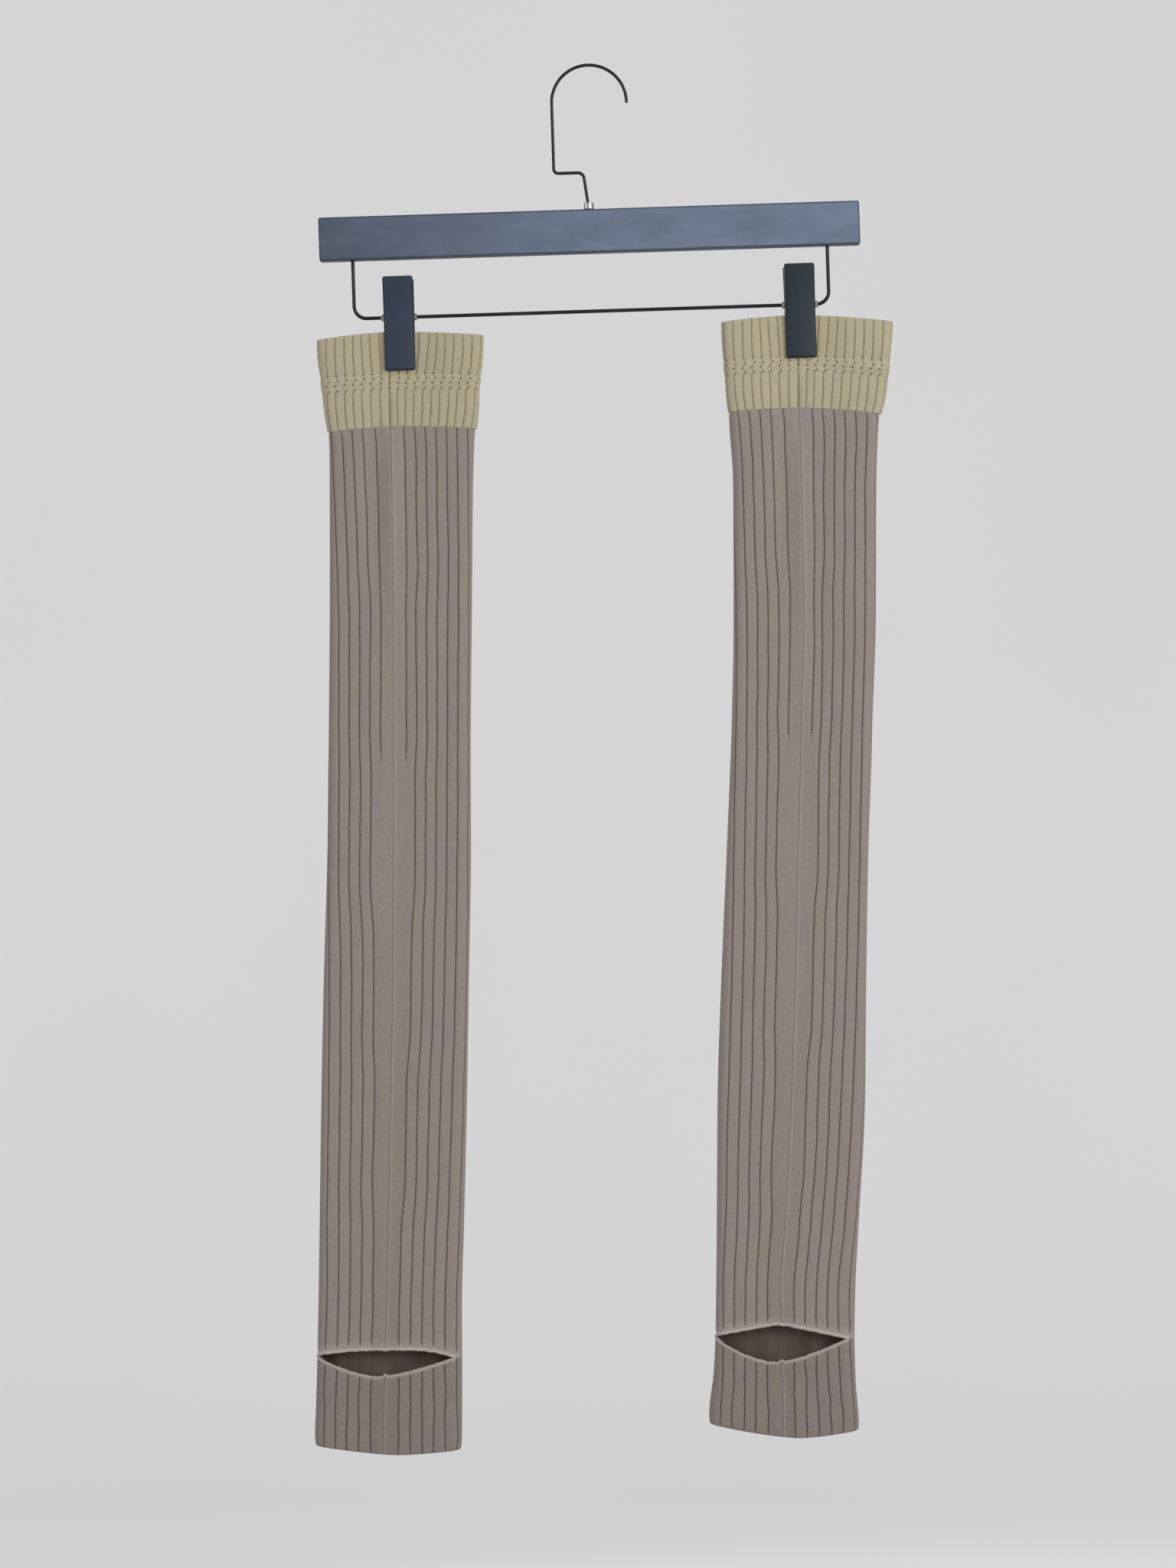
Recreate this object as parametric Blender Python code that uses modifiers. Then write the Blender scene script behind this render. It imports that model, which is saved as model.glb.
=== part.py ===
"""A pair of long ribbed stockings on a flat wooden clip hanger.

The stockings reach above the knee. Each one is a ribbed leg with a finer ribbed cuff, and each
is open at the heel and at the foot. Two clips on the hanger's lower wire hold them by the cuffs,
with their centre-back seams to the front.

The frame: the origin is the underside of the hook's crown, where the hanger bears on what it
hangs from. +X is to the right as one faces the seams, +Y runs away from that side, +Z is up.
Lengths are in millimetres here, and MM turns them to metres.
"""

import math
from collections import namedtuple

import bmesh
import bpy
from mathutils import Vector

MM = 0.001
CLEARANCE = 0.3
WELD = 0.001

# Hanger
HANGER_TILT = 1.83
BAR_LENGTH = 350.0
BAR_HEIGHT = 28.0
BAR_DEPTH = 12.0
BAR_EDGE = 1.2
HOLE_DEPTH = 14.0
HOLE_SIDES = 16
HOOK_WIRE = 2.1
HOOK_CROWN_RADIUS = 24.2
HOOK_CROWN_OFFSET = 2.5
HOOK_CROWN_HEIGHT = 69.6
HOOK_CROWN_STEPS = 16
HOOK_TIP_ANGLE = -2.0
HOOK_JOG_HEIGHT = 24.3
HOOK_BEND = 5.0
BEND_STEPS = 4
FERRULE_DIAMETER = 6.4
FERRULE_HEIGHT = 3.7
FERRULE_SIDES = 16
LOWER_WIRE = 2.4
LOWER_WIRE_INSET = 21.3
LOWER_WIRE_DROP = 37.6
LOWER_WIRE_BEND = 8.0

# Clips, measured from the lower wire that carries them
CLIP_WIDTH = 19.6
CLIP_ABOVE_WIRE = 25.8
CLIP_BELOW_WIRE = 34.7
CLIP_GRIP_BELOW_WIRE = 6.3
CLIP_PIVOT_HALF = 2.0
ARM_THICKNESS = 2.6
ARM_EDGE = 0.7
HANDLE_GAP = 8.0
PIVOT_GAP = 3.5
GRIP_GAP = 2.7
CHEEK_RADIUS = 3.0
CHEEK_THICKNESS = 1.6
CHEEK_ROOT = 4.2
CHEEK_STEPS = 8
FRONT_CHEEK_INSET = 0.3
BACK_CHEEK_INSET = 2.4
SLEEVE_WALL = 0.4
SLEEVE_PROUD = 1.8
SLEEVE_SIDES = 12
SPRING_WIRE = 0.7
SPRING_TURNS = 3.5
SPRING_PITCH = 1.1
SPRING_LEG = 15.0
SPRING_STEPS_PER_TURN = 10

# Cloth. A rib of the outer ring has a point in its groove and one on each shoulder.
POINTS_PER_RIB = 3
RIB_SHOULDER = 0.22
GRIP_HALF_WIDTH = 11.5
GRIP_FADE = 24.0
FALL_POWER = 1.5
CUFF_RIBS = 38
LEG_RIBS = 24
SHORT_GROOVE = 0.55
SEAM_GROOVE = 0.35

# The heel opening ends at outer points counted round from the seam, and has a rolled rim
HEEL_END_RIGHT = POINTS_PER_RIB * 6 + 1
HEEL_END_LEFT = POINTS_PER_RIB * 21 + 1
RIM_BEAD = 1.3
RIM_NECK = 2.7
RIM_PROUD = 0.7

# The hanger's places in its own level frame, whose origin is the part's origin
Layout = namedtuple("Layout", "crown middle bar_top bar_bottom wire_level")

# A knitted fabric: how far its ribs stand out, its wall behind a groove, and its grooves' places
Fabric = namedtuple("Fabric", "rib wall grooves")

# A level of a cuff: its drop below the top edge at the clip, its left and right edges from the
# clip's middle, how far the level falls towards each edge, its depth between groove bottoms, the
# same depth on the clip's line, how far the ribs stand out, and the place of the back seam
CuffLevel = namedtuple("CuffLevel", "drop left right fall_left fall_right depth waist rib seam")

# A level of a leg has the same columns, then the distances from the seam to the first long groove
# on its left and right, and the strength of the two short grooves between those
LegLevel = namedtuple(
    "LegLevel", "drop left right fall_left fall_right depth waist rib seam panel_left panel_right short"
)

# A lip of the heel opening: its height at the apex, the apex's place as a share of the way from
# left to right, and how full its curve is
Lip = namedtuple("Lip", "rise apex fullness")

Stocking = namedtuple("Stocking", "side clip_place cuff_drop cuff leg heel_drop upper_lip lower_lip")

LEFT_CUFF = [
    CuffLevel(0.0, -53.6, 55.2, 5.7, 2.3, 8.6, 3.2, 0.7, -6.0),
    CuffLevel(12.0, -52.9, 54.5, 5.0, 2.2, 10.8, 3.2, 1.0, -6.0),
    CuffLevel(25.5, -51.3, 53.4, 4.0, 1.2, 11.4, 3.2, 1.0, -6.0),
    CuffLevel(31.0, -50.7, 52.8, 3.6, 0.6, 9.8, 4.4, 0.6, -6.1),
    CuffLevel(35.0, -50.5, 52.6, 3.6, 0.4, 11.6, 6.0, 1.0, -6.2),
    CuffLevel(39.0, -50.0, 52.4, 3.6, 0.4, 9.8, 5.4, 0.6, -6.2),
    CuffLevel(50.0, -48.4, 51.8, 3.8, 0.9, 11.4, 6.4, 1.0, -6.0),
    CuffLevel(61.8, -46.4, 50.6, 4.0, 1.5, 10.4, 6.4, 0.9, -5.8),
]

LEFT_LEG = [
    LegLevel(62.1, -45.8, 49.6, 4.0, 1.5, 10.0, 6.4, 0.8, -5.8, 17.7, 15.8, 1.0),
    LegLevel(75.4, -45.1, 48.6, 3.2, 1.2, 10.6, 6.8, 1.0, -5.0, 17.7, 15.8, 1.0),
    LegLevel(110.0, -45.0, 47.8, 1.6, 0.6, 10.8, 8.6, 1.0, -4.2, 17.0, 15.4, 1.0),
    LegLevel(168.1, -45.0, 47.3, 0.0, 0.0, 10.8, 10.4, 1.0, -3.4, 15.6, 14.9, 1.0),
    LegLevel(273.7, -45.7, 46.4, 0.0, 0.0, 10.6, 10.6, 1.0, -3.3, 15.1, 14.3, 1.0),
    LegLevel(280.0, -45.8, 46.4, 0.0, 0.0, 10.6, 10.6, 1.0, -3.3, 15.1, 14.3, 0.0),
    LegLevel(333.2, -46.4, 46.6, 0.0, 0.0, 10.6, 10.6, 1.0, -3.4, 14.9, 13.6, 0.0),
    LegLevel(421.4, -48.9, 45.2, 0.0, 0.0, 10.8, 10.8, 1.0, -3.9, 12.3, 11.8, 0.0),
    LegLevel(491.8, -50.4, 44.1, 0.0, 0.0, 10.8, 10.8, 1.0, -5.2, 11.0, 10.4, 0.0),
    LegLevel(578.6, -51.6, 42.1, -0.4, -0.2, 10.8, 10.8, 1.0, -6.8, 10.1, 9.2, 0.0),
    LegLevel(630.7, -52.4, 40.8, -1.0, -0.6, 11.0, 11.0, 1.0, -7.9, 9.1, 8.1, 0.0),
    LegLevel(664.4, -53.1, 40.9, -1.6, -1.0, 11.4, 11.4, 1.0, -8.8, 8.9, 8.8, 0.0),
    LegLevel(695.6, -53.8, 40.9, -4.0, -2.2, 11.4, 11.4, 1.0, -9.6, 8.7, 9.5, 0.0),
    LegLevel(721.0, -54.6, 40.8, -6.0, -3.3, 11.6, 11.6, 1.0, -9.8, 8.7, 9.5, 0.0),
    LegLevel(726.6, -54.4, 40.4, -6.0, -3.4, 11.2, 11.2, 0.6, -9.8, 8.7, 9.5, 0.0),
]

RIGHT_CUFF = [
    CuffLevel(0.0, -51.2, 60.8, 4.7, 4.2, 8.6, 3.2, 0.7, -1.1),
    CuffLevel(12.0, -50.6, 59.8, 4.2, 4.0, 10.8, 3.2, 1.0, -1.1),
    CuffLevel(27.5, -49.6, 58.4, 3.6, 3.8, 11.4, 3.2, 1.0, -1.1),
    CuffLevel(31.5, -49.2, 58.0, 3.8, 4.2, 9.8, 4.4, 0.6, -1.1),
    CuffLevel(35.5, -48.9, 57.7, 3.8, 4.2, 11.6, 6.0, 1.0, -1.1),
    CuffLevel(39.5, -48.6, 57.3, 3.6, 4.2, 9.8, 5.4, 0.6, -1.1),
    CuffLevel(50.0, -47.6, 55.6, 3.3, 4.2, 11.4, 6.4, 1.0, -1.1),
    CuffLevel(60.4, -46.5, 52.9, 3.0, 4.2, 10.4, 6.4, 0.9, -1.1),
]

RIGHT_LEG = [
    LegLevel(60.7, -46.1, 51.8, 3.0, 4.2, 10.0, 6.4, 0.8, -1.1, 18.2, 15.6, 1.0),
    LegLevel(71.4, -45.4, 50.8, 2.4, 3.4, 10.6, 6.8, 1.0, -0.2, 18.2, 15.6, 1.0),
    LegLevel(109.6, -43.1, 49.7, 1.0, 1.4, 10.8, 8.6, 1.0, 0.9, 17.8, 14.2, 1.0),
    LegLevel(194.9, -42.8, 49.4, 0.0, 0.0, 10.8, 10.8, 1.0, 2.4, 16.6, 12.3, 1.0),
    LegLevel(270.3, -44.2, 47.0, 0.0, 0.0, 10.6, 10.6, 1.0, 0.6, 14.8, 12.3, 1.0),
    LegLevel(276.6, -44.4, 46.9, 0.0, 0.0, 10.6, 10.6, 1.0, 0.5, 14.8, 12.3, 0.0),
    LegLevel(342.7, -47.2, 44.7, 0.0, 0.0, 10.6, 10.6, 1.0, -1.2, 13.9, 12.3, 0.0),
    LegLevel(430.9, -50.8, 43.2, 0.0, 0.0, 10.8, 10.8, 1.0, -3.1, 12.4, 11.0, 0.0),
    LegLevel(508.7, -53.2, 42.4, 0.0, 0.0, 10.8, 10.8, 1.0, -5.8, 11.2, 9.9, 0.0),
    LegLevel(589.6, -53.8, 38.2, -0.6, -0.6, 10.8, 10.8, 1.0, -9.8, 9.6, 9.6, 0.0),
    LegLevel(630.2, -54.2, 36.2, -1.4, -1.0, 11.0, 11.0, 1.0, -12.8, 8.3, 8.8, 0.0),
    LegLevel(663.3, -54.7, 35.6, -2.4, -1.6, 11.4, 11.4, 1.0, -12.2, 9.0, 8.2, 0.0),
    LegLevel(690.2, -55.9, 36.2, -5.0, -3.2, 11.4, 11.4, 1.0, -11.4, 9.9, 7.8, 0.0),
    LegLevel(720.5, -58.6, 38.4, -9.0, -5.0, 11.6, 11.6, 1.0, -11.0, 9.9, 7.8, 0.0),
    LegLevel(726.3, -58.6, 38.6, -9.1, -5.2, 11.2, 11.2, 0.6, -11.0, 9.9, 7.8, 0.0),
]

STOCKINGS = [
    Stocking(
        side="left",
        clip_place=-124.8,
        cuff_drop=9.3,
        cuff=LEFT_CUFF,
        leg=LEFT_LEG,
        heel_drop=664.4,
        upper_lip=Lip(rise=5.2, apex=0.66, fullness=3.0),
        lower_lip=Lip(rise=11.2, apex=0.45, fullness=2.2),
    ),
    Stocking(
        side="right",
        clip_place=134.7,
        cuff_drop=6.9,
        cuff=RIGHT_CUFF,
        leg=RIGHT_LEG,
        heel_drop=663.3,
        upper_lip=Lip(rise=9.2, apex=0.53, fullness=1.7),
        lower_lip=Lip(rise=13.6, apex=0.45, fullness=2.0),
    ),
]


def new_collection(name):
    """A collection in the scene."""
    collection = bpy.data.collections.new(name)
    bpy.context.scene.collection.children.link(collection)
    return collection


def material(name, colour, roughness, metallic=0.0):
    """A plain Principled material."""
    made = bpy.data.materials.new(name)
    made.use_nodes = True
    shader = made.node_tree.nodes["Principled BSDF"]
    shader.inputs["Base Color"].default_value = (*colour, 1.0)
    shader.inputs["Roughness"].default_value = roughness
    shader.inputs["Metallic"].default_value = metallic
    return made


def place(made, collection, look=None, parent=None):
    """Puts an object in its collection, with its material and parent."""
    for old in made.users_collection:
        old.objects.unlink(made)
    collection.objects.link(made)
    if look is not None:
        made.data.materials.clear()
        made.data.materials.append(look)
    made.parent = parent
    return made


def mesh_object(name, source):
    """An object from a bmesh, which is freed."""
    mesh = bpy.data.meshes.new(name)
    source.to_mesh(mesh)
    source.free()
    return bpy.data.objects.new(name, mesh)


def cutter(made, collection, parent):
    """Puts an object among the cutters, drawn as wire and left out of renders."""
    place(made, collection, parent=parent)
    made.hide_render = True
    made.display_type = "WIRE"
    return made


def boolean(target, operand, operation):
    """A Boolean modifier that joins or cuts with another object."""
    modifier = target.modifiers.new(operation.lower(), "BOOLEAN")
    modifier.operation = operation
    modifier.object = operand


def bevel(target, width):
    """Rounds an object's sharp edges, and leaves the slight folds of a plate."""
    modifier = target.modifiers.new("bevel", "BEVEL")
    modifier.width = width * MM
    modifier.segments = 2
    modifier.limit_method = "ANGLE"
    modifier.angle_limit = math.radians(40)


def arc(centre, radius, start, end, steps):
    """Points along an arc in the X-Z plane, by angles in degrees from +X towards +Z."""
    points = []
    for step in range(steps + 1):
        angle = math.radians(start + (end - start) * step / steps)
        points.append((centre[0] + radius * math.cos(angle), 0.0, centre[1] + radius * math.sin(angle)))
    return points


def wire(name, points, diameter):
    """A round wire along points, as a curve with a bevel depth and filled caps."""
    curve = bpy.data.curves.new(name, "CURVE")
    curve.dimensions = "3D"
    curve.bevel_depth = diameter / 2 * MM
    curve.bevel_resolution = 2
    curve.use_fill_caps = True
    spline = curve.splines.new("POLY")
    spline.points.add(len(points) - 1)
    for spot, point in zip(spline.points, points):
        spot.co = (*(Vector(point) * MM), 1.0)
    return bpy.data.objects.new(name, curve)


def tube(name, inner, outer, length, sides):
    """A plain tube about its own Z axis, turned from its closed profile."""
    half = length / 2
    profile = [(outer, half), (outer, -half), (inner, -half), (inner, half)]
    shape = bmesh.new()
    spots = [shape.verts.new(Vector((radius, 0.0, height)) * MM) for radius, height in profile]
    for first, second in zip(spots, spots[1:] + spots[:1]):
        shape.edges.new((first, second))
    made = mesh_object(name, shape)
    screw = made.modifiers.new("turn", "SCREW")
    screw.steps = sides
    screw.render_steps = sides
    screw.use_merge_vertices = True
    screw.merge_threshold = WELD * MM
    return made


def rod(name, diameter, length):
    """A round rod about its own Z axis."""
    shape = bmesh.new()
    radius = diameter / 2 * MM
    bmesh.ops.create_cone(
        shape, cap_ends=True, segments=HOLE_SIDES, radius1=radius, radius2=radius, depth=length * MM
    )
    return mesh_object(name, shape)


def hanger_layout():
    """Works out the hanger's places from its sizes. The crown is the middle of the hook's arc."""
    tilt = math.radians(HANGER_TILT)
    drop = HOOK_CROWN_RADIUS - HOOK_WIRE / 2
    crown = (-drop * math.sin(tilt), -drop * math.cos(tilt))
    bar_top = crown[1] - HOOK_CROWN_HEIGHT
    bar_bottom = bar_top - BAR_HEIGHT
    return Layout(crown, crown[0] - HOOK_CROWN_OFFSET, bar_top, bar_bottom, bar_bottom - LOWER_WIRE_DROP)


def make_bar(layout, parts, cutters, hanger, look):
    """The flat wooden bar, with blind holes for the hook and the lower wire."""
    shape = bmesh.new()
    bmesh.ops.create_cube(shape, size=1.0)
    bmesh.ops.scale(shape, vec=Vector((BAR_LENGTH, BAR_DEPTH, BAR_HEIGHT)) * MM, verts=shape.verts)
    bar = place(mesh_object("hanger_bar", shape), parts, look, hanger)
    bar.location = Vector((layout.middle, 0.0, (layout.bar_top + layout.bar_bottom) / 2)) * MM
    bevel(bar, BAR_EDGE)
    reach = BAR_LENGTH / 2 - LOWER_WIRE_INSET
    holes = [
        ("hook_hole", layout.middle, layout.bar_top, HOOK_WIRE),
        ("wire_hole_left", layout.middle - reach, layout.bar_bottom, LOWER_WIRE),
        ("wire_hole_right", layout.middle + reach, layout.bar_bottom, LOWER_WIRE),
    ]
    for name, x, z, diameter in holes:
        hole = cutter(rod(name, diameter + 2 * CLEARANCE, 2 * HOLE_DEPTH), cutters, hanger)
        hole.location = Vector((x, 0.0, z)) * MM
        boolean(bar, hole, "DIFFERENCE")


def make_hook(layout, parts, hanger, look):
    """The bent wire hook: a shank, a jog to the left, a riser and the round crown."""
    jog = layout.bar_top + HOOK_JOG_HEIGHT
    riser = layout.crown[0] - HOOK_CROWN_RADIUS
    points = [(layout.middle, 0.0, layout.bar_top - HOLE_DEPTH + CLEARANCE)]
    points += arc((layout.middle - HOOK_BEND, jog - HOOK_BEND), HOOK_BEND, 0, 90, BEND_STEPS)
    points += arc((riser + HOOK_BEND, jog + HOOK_BEND), HOOK_BEND, 270, 180, BEND_STEPS)
    points += arc(layout.crown, HOOK_CROWN_RADIUS, 180, HOOK_TIP_ANGLE, HOOK_CROWN_STEPS)
    place(wire("hook", points, HOOK_WIRE), parts, look, hanger)


def make_ferrule(layout, parts, hanger, look):
    """The small turned collar round the shank, on top of the bar."""
    inner = HOOK_WIRE / 2 + CLEARANCE
    ferrule = tube("hook_ferrule", inner, FERRULE_DIAMETER / 2, FERRULE_HEIGHT, FERRULE_SIDES)
    place(ferrule, parts, look, hanger)
    ferrule.location = Vector((layout.middle, 0.0, layout.bar_top + CLEARANCE + FERRULE_HEIGHT / 2)) * MM


def make_lower_wire(layout, parts, hanger, look):
    """The wire that hangs under the bar as a wide U."""
    reach = BAR_LENGTH / 2 - LOWER_WIRE_INSET
    inset = reach - LOWER_WIRE_BEND
    end = layout.bar_bottom + HOLE_DEPTH - CLEARANCE
    height = layout.wire_level + LOWER_WIRE_BEND
    points = [(layout.middle - reach, 0.0, end)]
    points += arc((layout.middle - inset, height), LOWER_WIRE_BEND, 180, 270, BEND_STEPS)
    points += arc((layout.middle + inset, height), LOWER_WIRE_BEND, 270, 360, BEND_STEPS)
    points += [(layout.middle + reach, 0.0, end)]
    place(wire("lower_wire", points, LOWER_WIRE), parts, look, hanger)


def sleeve_radius():
    """The outer radius of a clip's pivot sleeve, which is loose on the lower wire."""
    return LOWER_WIRE / 2 + CLEARANCE + SLEEVE_WALL


def arm_plate(name, facing):
    """A clip arm's plate: a strip folded at the pivot and above the grip, then thickened.

    facing is -1 for the front arm and 1 for the back arm.
    """
    folds = [
        (HANDLE_GAP, CLIP_ABOVE_WIRE),
        (PIVOT_GAP, CLIP_PIVOT_HALF),
        (PIVOT_GAP, -CLIP_PIVOT_HALF),
        (GRIP_GAP, -CLIP_GRIP_BELOW_WIRE),
        (GRIP_GAP, -CLIP_BELOW_WIRE),
    ]
    shape = bmesh.new()
    rows = []
    for gap, height in folds:
        ends = [Vector((x, facing * gap, height)) * MM for x in (-CLIP_WIDTH / 2, CLIP_WIDTH / 2)]
        rows.append([shape.verts.new(end) for end in ends])
    for above, below in zip(rows, rows[1:]):
        corners = [above[0], below[0], below[1], above[1]]
        shape.faces.new(corners if facing < 0 else corners[::-1])
    made = mesh_object(name, shape)
    thicken = made.modifiers.new("thickness", "SOLIDIFY")
    thicken.thickness = ARM_THICKNESS * MM
    thicken.offset = 1.0
    thicken.use_even_offset = True
    bevel(made, ARM_EDGE)
    return made


def cheek(name, x, facing, collection, parent):
    """A lug of a clip arm round the pivot sleeve, as a rounded plate across X."""
    curve = bpy.data.curves.new(name, "CURVE")
    curve.dimensions = "2D"
    curve.fill_mode = "BOTH"
    curve.extrude = CHEEK_THICKNESS / 2 * MM
    outline = [(CHEEK_ROOT, -CHEEK_RADIUS), (CHEEK_ROOT, CHEEK_RADIUS)]
    outline += [(y, z) for y, _, z in arc((0.0, 0.0), CHEEK_RADIUS, 90, 270, CHEEK_STEPS)]
    spline = curve.splines.new("POLY")
    spline.points.add(len(outline) - 1)
    for spot, (y, z) in zip(spline.points, outline):
        spot.co = (facing * y * MM, z * MM, 0.0, 1.0)
    spline.use_cyclic_u = True
    flat = place(bpy.data.objects.new(name, curve), collection, parent=parent)
    flat.location = Vector((x, 0.0, 0.0)) * MM
    flat.rotation_euler = (math.radians(90), 0.0, math.radians(90))
    return as_mesh(flat, collection, parent)


def as_mesh(source, collection, parent):
    """Replaces a curve object by a mesh object with its caps welded, among the cutters."""
    bpy.context.view_layer.update()
    graph = bpy.context.evaluated_depsgraph_get()
    mesh = bpy.data.meshes.new_from_object(source.evaluated_get(graph))
    shape = bmesh.new()
    shape.from_mesh(mesh)
    bmesh.ops.remove_doubles(shape, verts=shape.verts, dist=WELD * MM)
    bmesh.ops.recalc_face_normals(shape, faces=shape.faces)
    shape.to_mesh(mesh)
    shape.free()
    made = cutter(bpy.data.objects.new(source.name + "_solid", mesh), collection, parent)
    made.matrix_world = source.matrix_world
    bpy.data.objects.remove(source)
    return made


def make_arm(name, facing, cheek_inset, parts, cutters, seat, look):
    """A clip arm: its plate, the two cheeks that carry it on the sleeve, and their hole."""
    arm = place(arm_plate(name, facing), parts, look, seat)
    centre = CLIP_WIDTH / 2 - cheek_inset - CHEEK_THICKNESS / 2
    for side, x in (("left", -centre), ("right", centre)):
        boolean(arm, cheek(f"{name}_cheek_{side}", x, facing, cutters, seat), "UNION")
    bore = cutter(rod(f"{name}_bore", 2 * (sleeve_radius() + CLEARANCE), 2 * CLIP_WIDTH), cutters, seat)
    bore.rotation_euler = (0.0, math.radians(90), 0.0)
    boolean(arm, bore, "DIFFERENCE")


def make_sleeve(name, parts, seat, look):
    """The metal sleeve that a clip turns on, a little longer than the clip is wide."""
    inner = LOWER_WIRE / 2 + CLEARANCE
    length = CLIP_WIDTH + 2 * SLEEVE_PROUD
    sleeve = place(tube(name, inner, sleeve_radius(), length, SLEEVE_SIDES), parts, look, seat)
    sleeve.rotation_euler = (0.0, math.radians(90), 0.0)


def make_spring(name, parts, seat, look):
    """The torsion spring round a clip's sleeve, with a leg up behind each handle."""
    radius = sleeve_radius() + CLEARANCE + SPRING_WIRE / 2
    slope = (HANDLE_GAP - PIVOT_GAP) / (CLIP_ABOVE_WIRE - CLIP_PIVOT_HALF)
    handle = PIVOT_GAP + slope * (SPRING_LEG - CLIP_PIVOT_HALF)
    leg_end = handle - CLEARANCE - SPRING_WIRE / 2
    half = SPRING_TURNS * SPRING_PITCH / 2
    steps = round(SPRING_TURNS * SPRING_STEPS_PER_TURN)
    points = [(-half, -leg_end, SPRING_LEG)]
    for step in range(steps + 1):
        share = step / steps
        angle = math.pi + 2 * math.pi * SPRING_TURNS * share
        points.append((half * (2 * share - 1), radius * math.cos(angle), radius * math.sin(angle)))
    points.append((half, leg_end, SPRING_LEG))
    place(wire(name, points, SPRING_WIRE), parts, look, seat)


def make_clip(layout, stocking, parts, cutters, hanger, looks):
    """One clip on the lower wire."""
    name = f"clip_{stocking.side}"
    seat = place(bpy.data.objects.new(f"{name}_seat", None), parts, parent=hanger)
    seat.location = Vector((layout.middle + stocking.clip_place, 0.0, layout.wire_level)) * MM
    make_arm(f"{name}_front", -1, FRONT_CHEEK_INSET, parts, cutters, seat, looks["plastic"])
    make_arm(f"{name}_back", 1, BACK_CHEEK_INSET, parts, cutters, seat, looks["plastic"])
    make_sleeve(f"{name}_sleeve", parts, seat, looks["steel"])
    make_spring(f"{name}_spring", parts, seat, looks["steel"])


def flat_half(fabric, level):
    """Half the width of a level's flat faces, between its round folds."""
    return (level.right - level.left) / 2 - fabric.rib - level.depth / 2


def girth(fabric, level):
    """The way round a level, at the bottoms of its grooves."""
    return 4 * flat_half(fabric, level) + math.pi * level.depth


def around(fabric, level, along):
    """The X and Y of a groove bottom and its outward direction, at a distance from the seam.

    The distance runs to the right over the near face, and on round the far face.
    """
    radius = level.depth / 2
    flat = flat_half(fabric, level)
    middle = (level.left + level.right) / 2
    way = (along + level.seam - middle + flat) % girth(fabric, level)
    if way < 2 * flat:
        return Vector((middle - flat + way, -radius)), Vector((0.0, -1.0))
    way -= 2 * flat
    if way < math.pi * radius:
        angle = way / radius - math.pi / 2
        outwards = Vector((math.cos(angle), math.sin(angle)))
        return Vector((middle + flat, 0.0)) + radius * outwards, outwards
    way -= math.pi * radius
    if way < 2 * flat:
        return Vector((middle + flat - way, radius)), Vector((0.0, 1.0))
    angle = (way - 2 * flat) / radius + math.pi / 2
    outwards = Vector((math.cos(angle), math.sin(angle)))
    return Vector((middle - flat, 0.0)) + radius * outwards, outwards


def pressed(level, x):
    """What is left of a level's depth at x, where the clip presses the two walls together."""
    reach = max(abs(x) - GRIP_HALF_WIDTH, 0.0)
    share = math.cos(min(reach / GRIP_FADE, 1.0) * math.pi / 2) ** 2
    return 1 + share * (level.waist / level.depth - 1)


def fall(level, x):
    """How much lower a level lies at x than on the clip's line."""
    edge, drop = (level.left, level.fall_left) if x < 0 else (level.right, level.fall_right)
    return drop * min(x / edge, 1.0) ** FALL_POWER


def cloth_point(fabric, level, along, offset, rise):
    """A point of a stocking, offset outwards from the groove bottoms and raised from its level."""
    groove, outwards = around(fabric, level, along)
    groove.y *= pressed(level, groove.x)
    spot = groove + outwards * offset
    return Vector((spot.x, spot.y, rise - level.drop - fall(level, groove.x)))


def cuff_grooves(level):
    """The places and strengths of a cuff's grooves, evenly round it from the seam."""
    pitch = girth(CUFF, level) / CUFF_RIBS
    return [(pitch * index, 1.0) for index in range(CUFF_RIBS)]


def leg_grooves(level):
    """The places and strengths of a leg's grooves: the seam, and short and long ones round it."""
    whole = girth(LEG, level)
    pitch = (whole - level.panel_left - level.panel_right) / LEG_RIBS
    grooves = [(0.0, SEAM_GROOVE), (SHORT_GROOVE * level.panel_right, level.short)]
    grooves += [(level.panel_right + pitch * index, 1.0) for index in range(LEG_RIBS + 1)]
    return grooves + [(whole - SHORT_GROOVE * level.panel_left, level.short)]


CUFF = Fabric(rib=0.8, wall=1.3, grooves=cuff_grooves)
LEG = Fabric(rib=1.1, wall=1.4, grooves=leg_grooves)


def stations(fabric, level):
    """The places of a level's outer points, each with the strength of a groove there."""
    grooves = fabric.grooves(level)
    ends = [start for start, _ in grooves[1:]] + [girth(fabric, level)]
    spots = []
    for (start, strength), end in zip(grooves, ends):
        spots.append((start, strength))
        spots += [(start + share * (end - start), 0.0) for share in (RIB_SHOULDER, 1 - RIB_SHOULDER)]
    return spots


def wall_row(shape, fabric, level, origin, rim=None, corners=()):
    """One level of a cloth wall: the ribbed outer ring, and the plain inner ring by outer index.

    The inner ring has a point behind each groove and each of the corners. rim gives how far a
    point of the heel opening's edge is raised, and how smooth and proud the rolled rim is there.
    """
    outer = []
    inner = {}
    for index, (along, strength) in enumerate(stations(fabric, level)):
        rise, smooth = rim(index, along) if rim else (0.0, 0.0)
        proud = fabric.rib * level.rib * (1 - strength * (1 - smooth)) + smooth * RIM_PROUD
        spot = origin + cloth_point(fabric, level, along, proud, rise)
        outer.append(shape.verts.new(spot * MM))
        if index % POINTS_PER_RIB == 0 or index in corners:
            spot = origin + cloth_point(fabric, level, along, -fabric.wall, rise)
            inner[index] = shape.verts.new(spot * MM)
    return outer, inner


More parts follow.
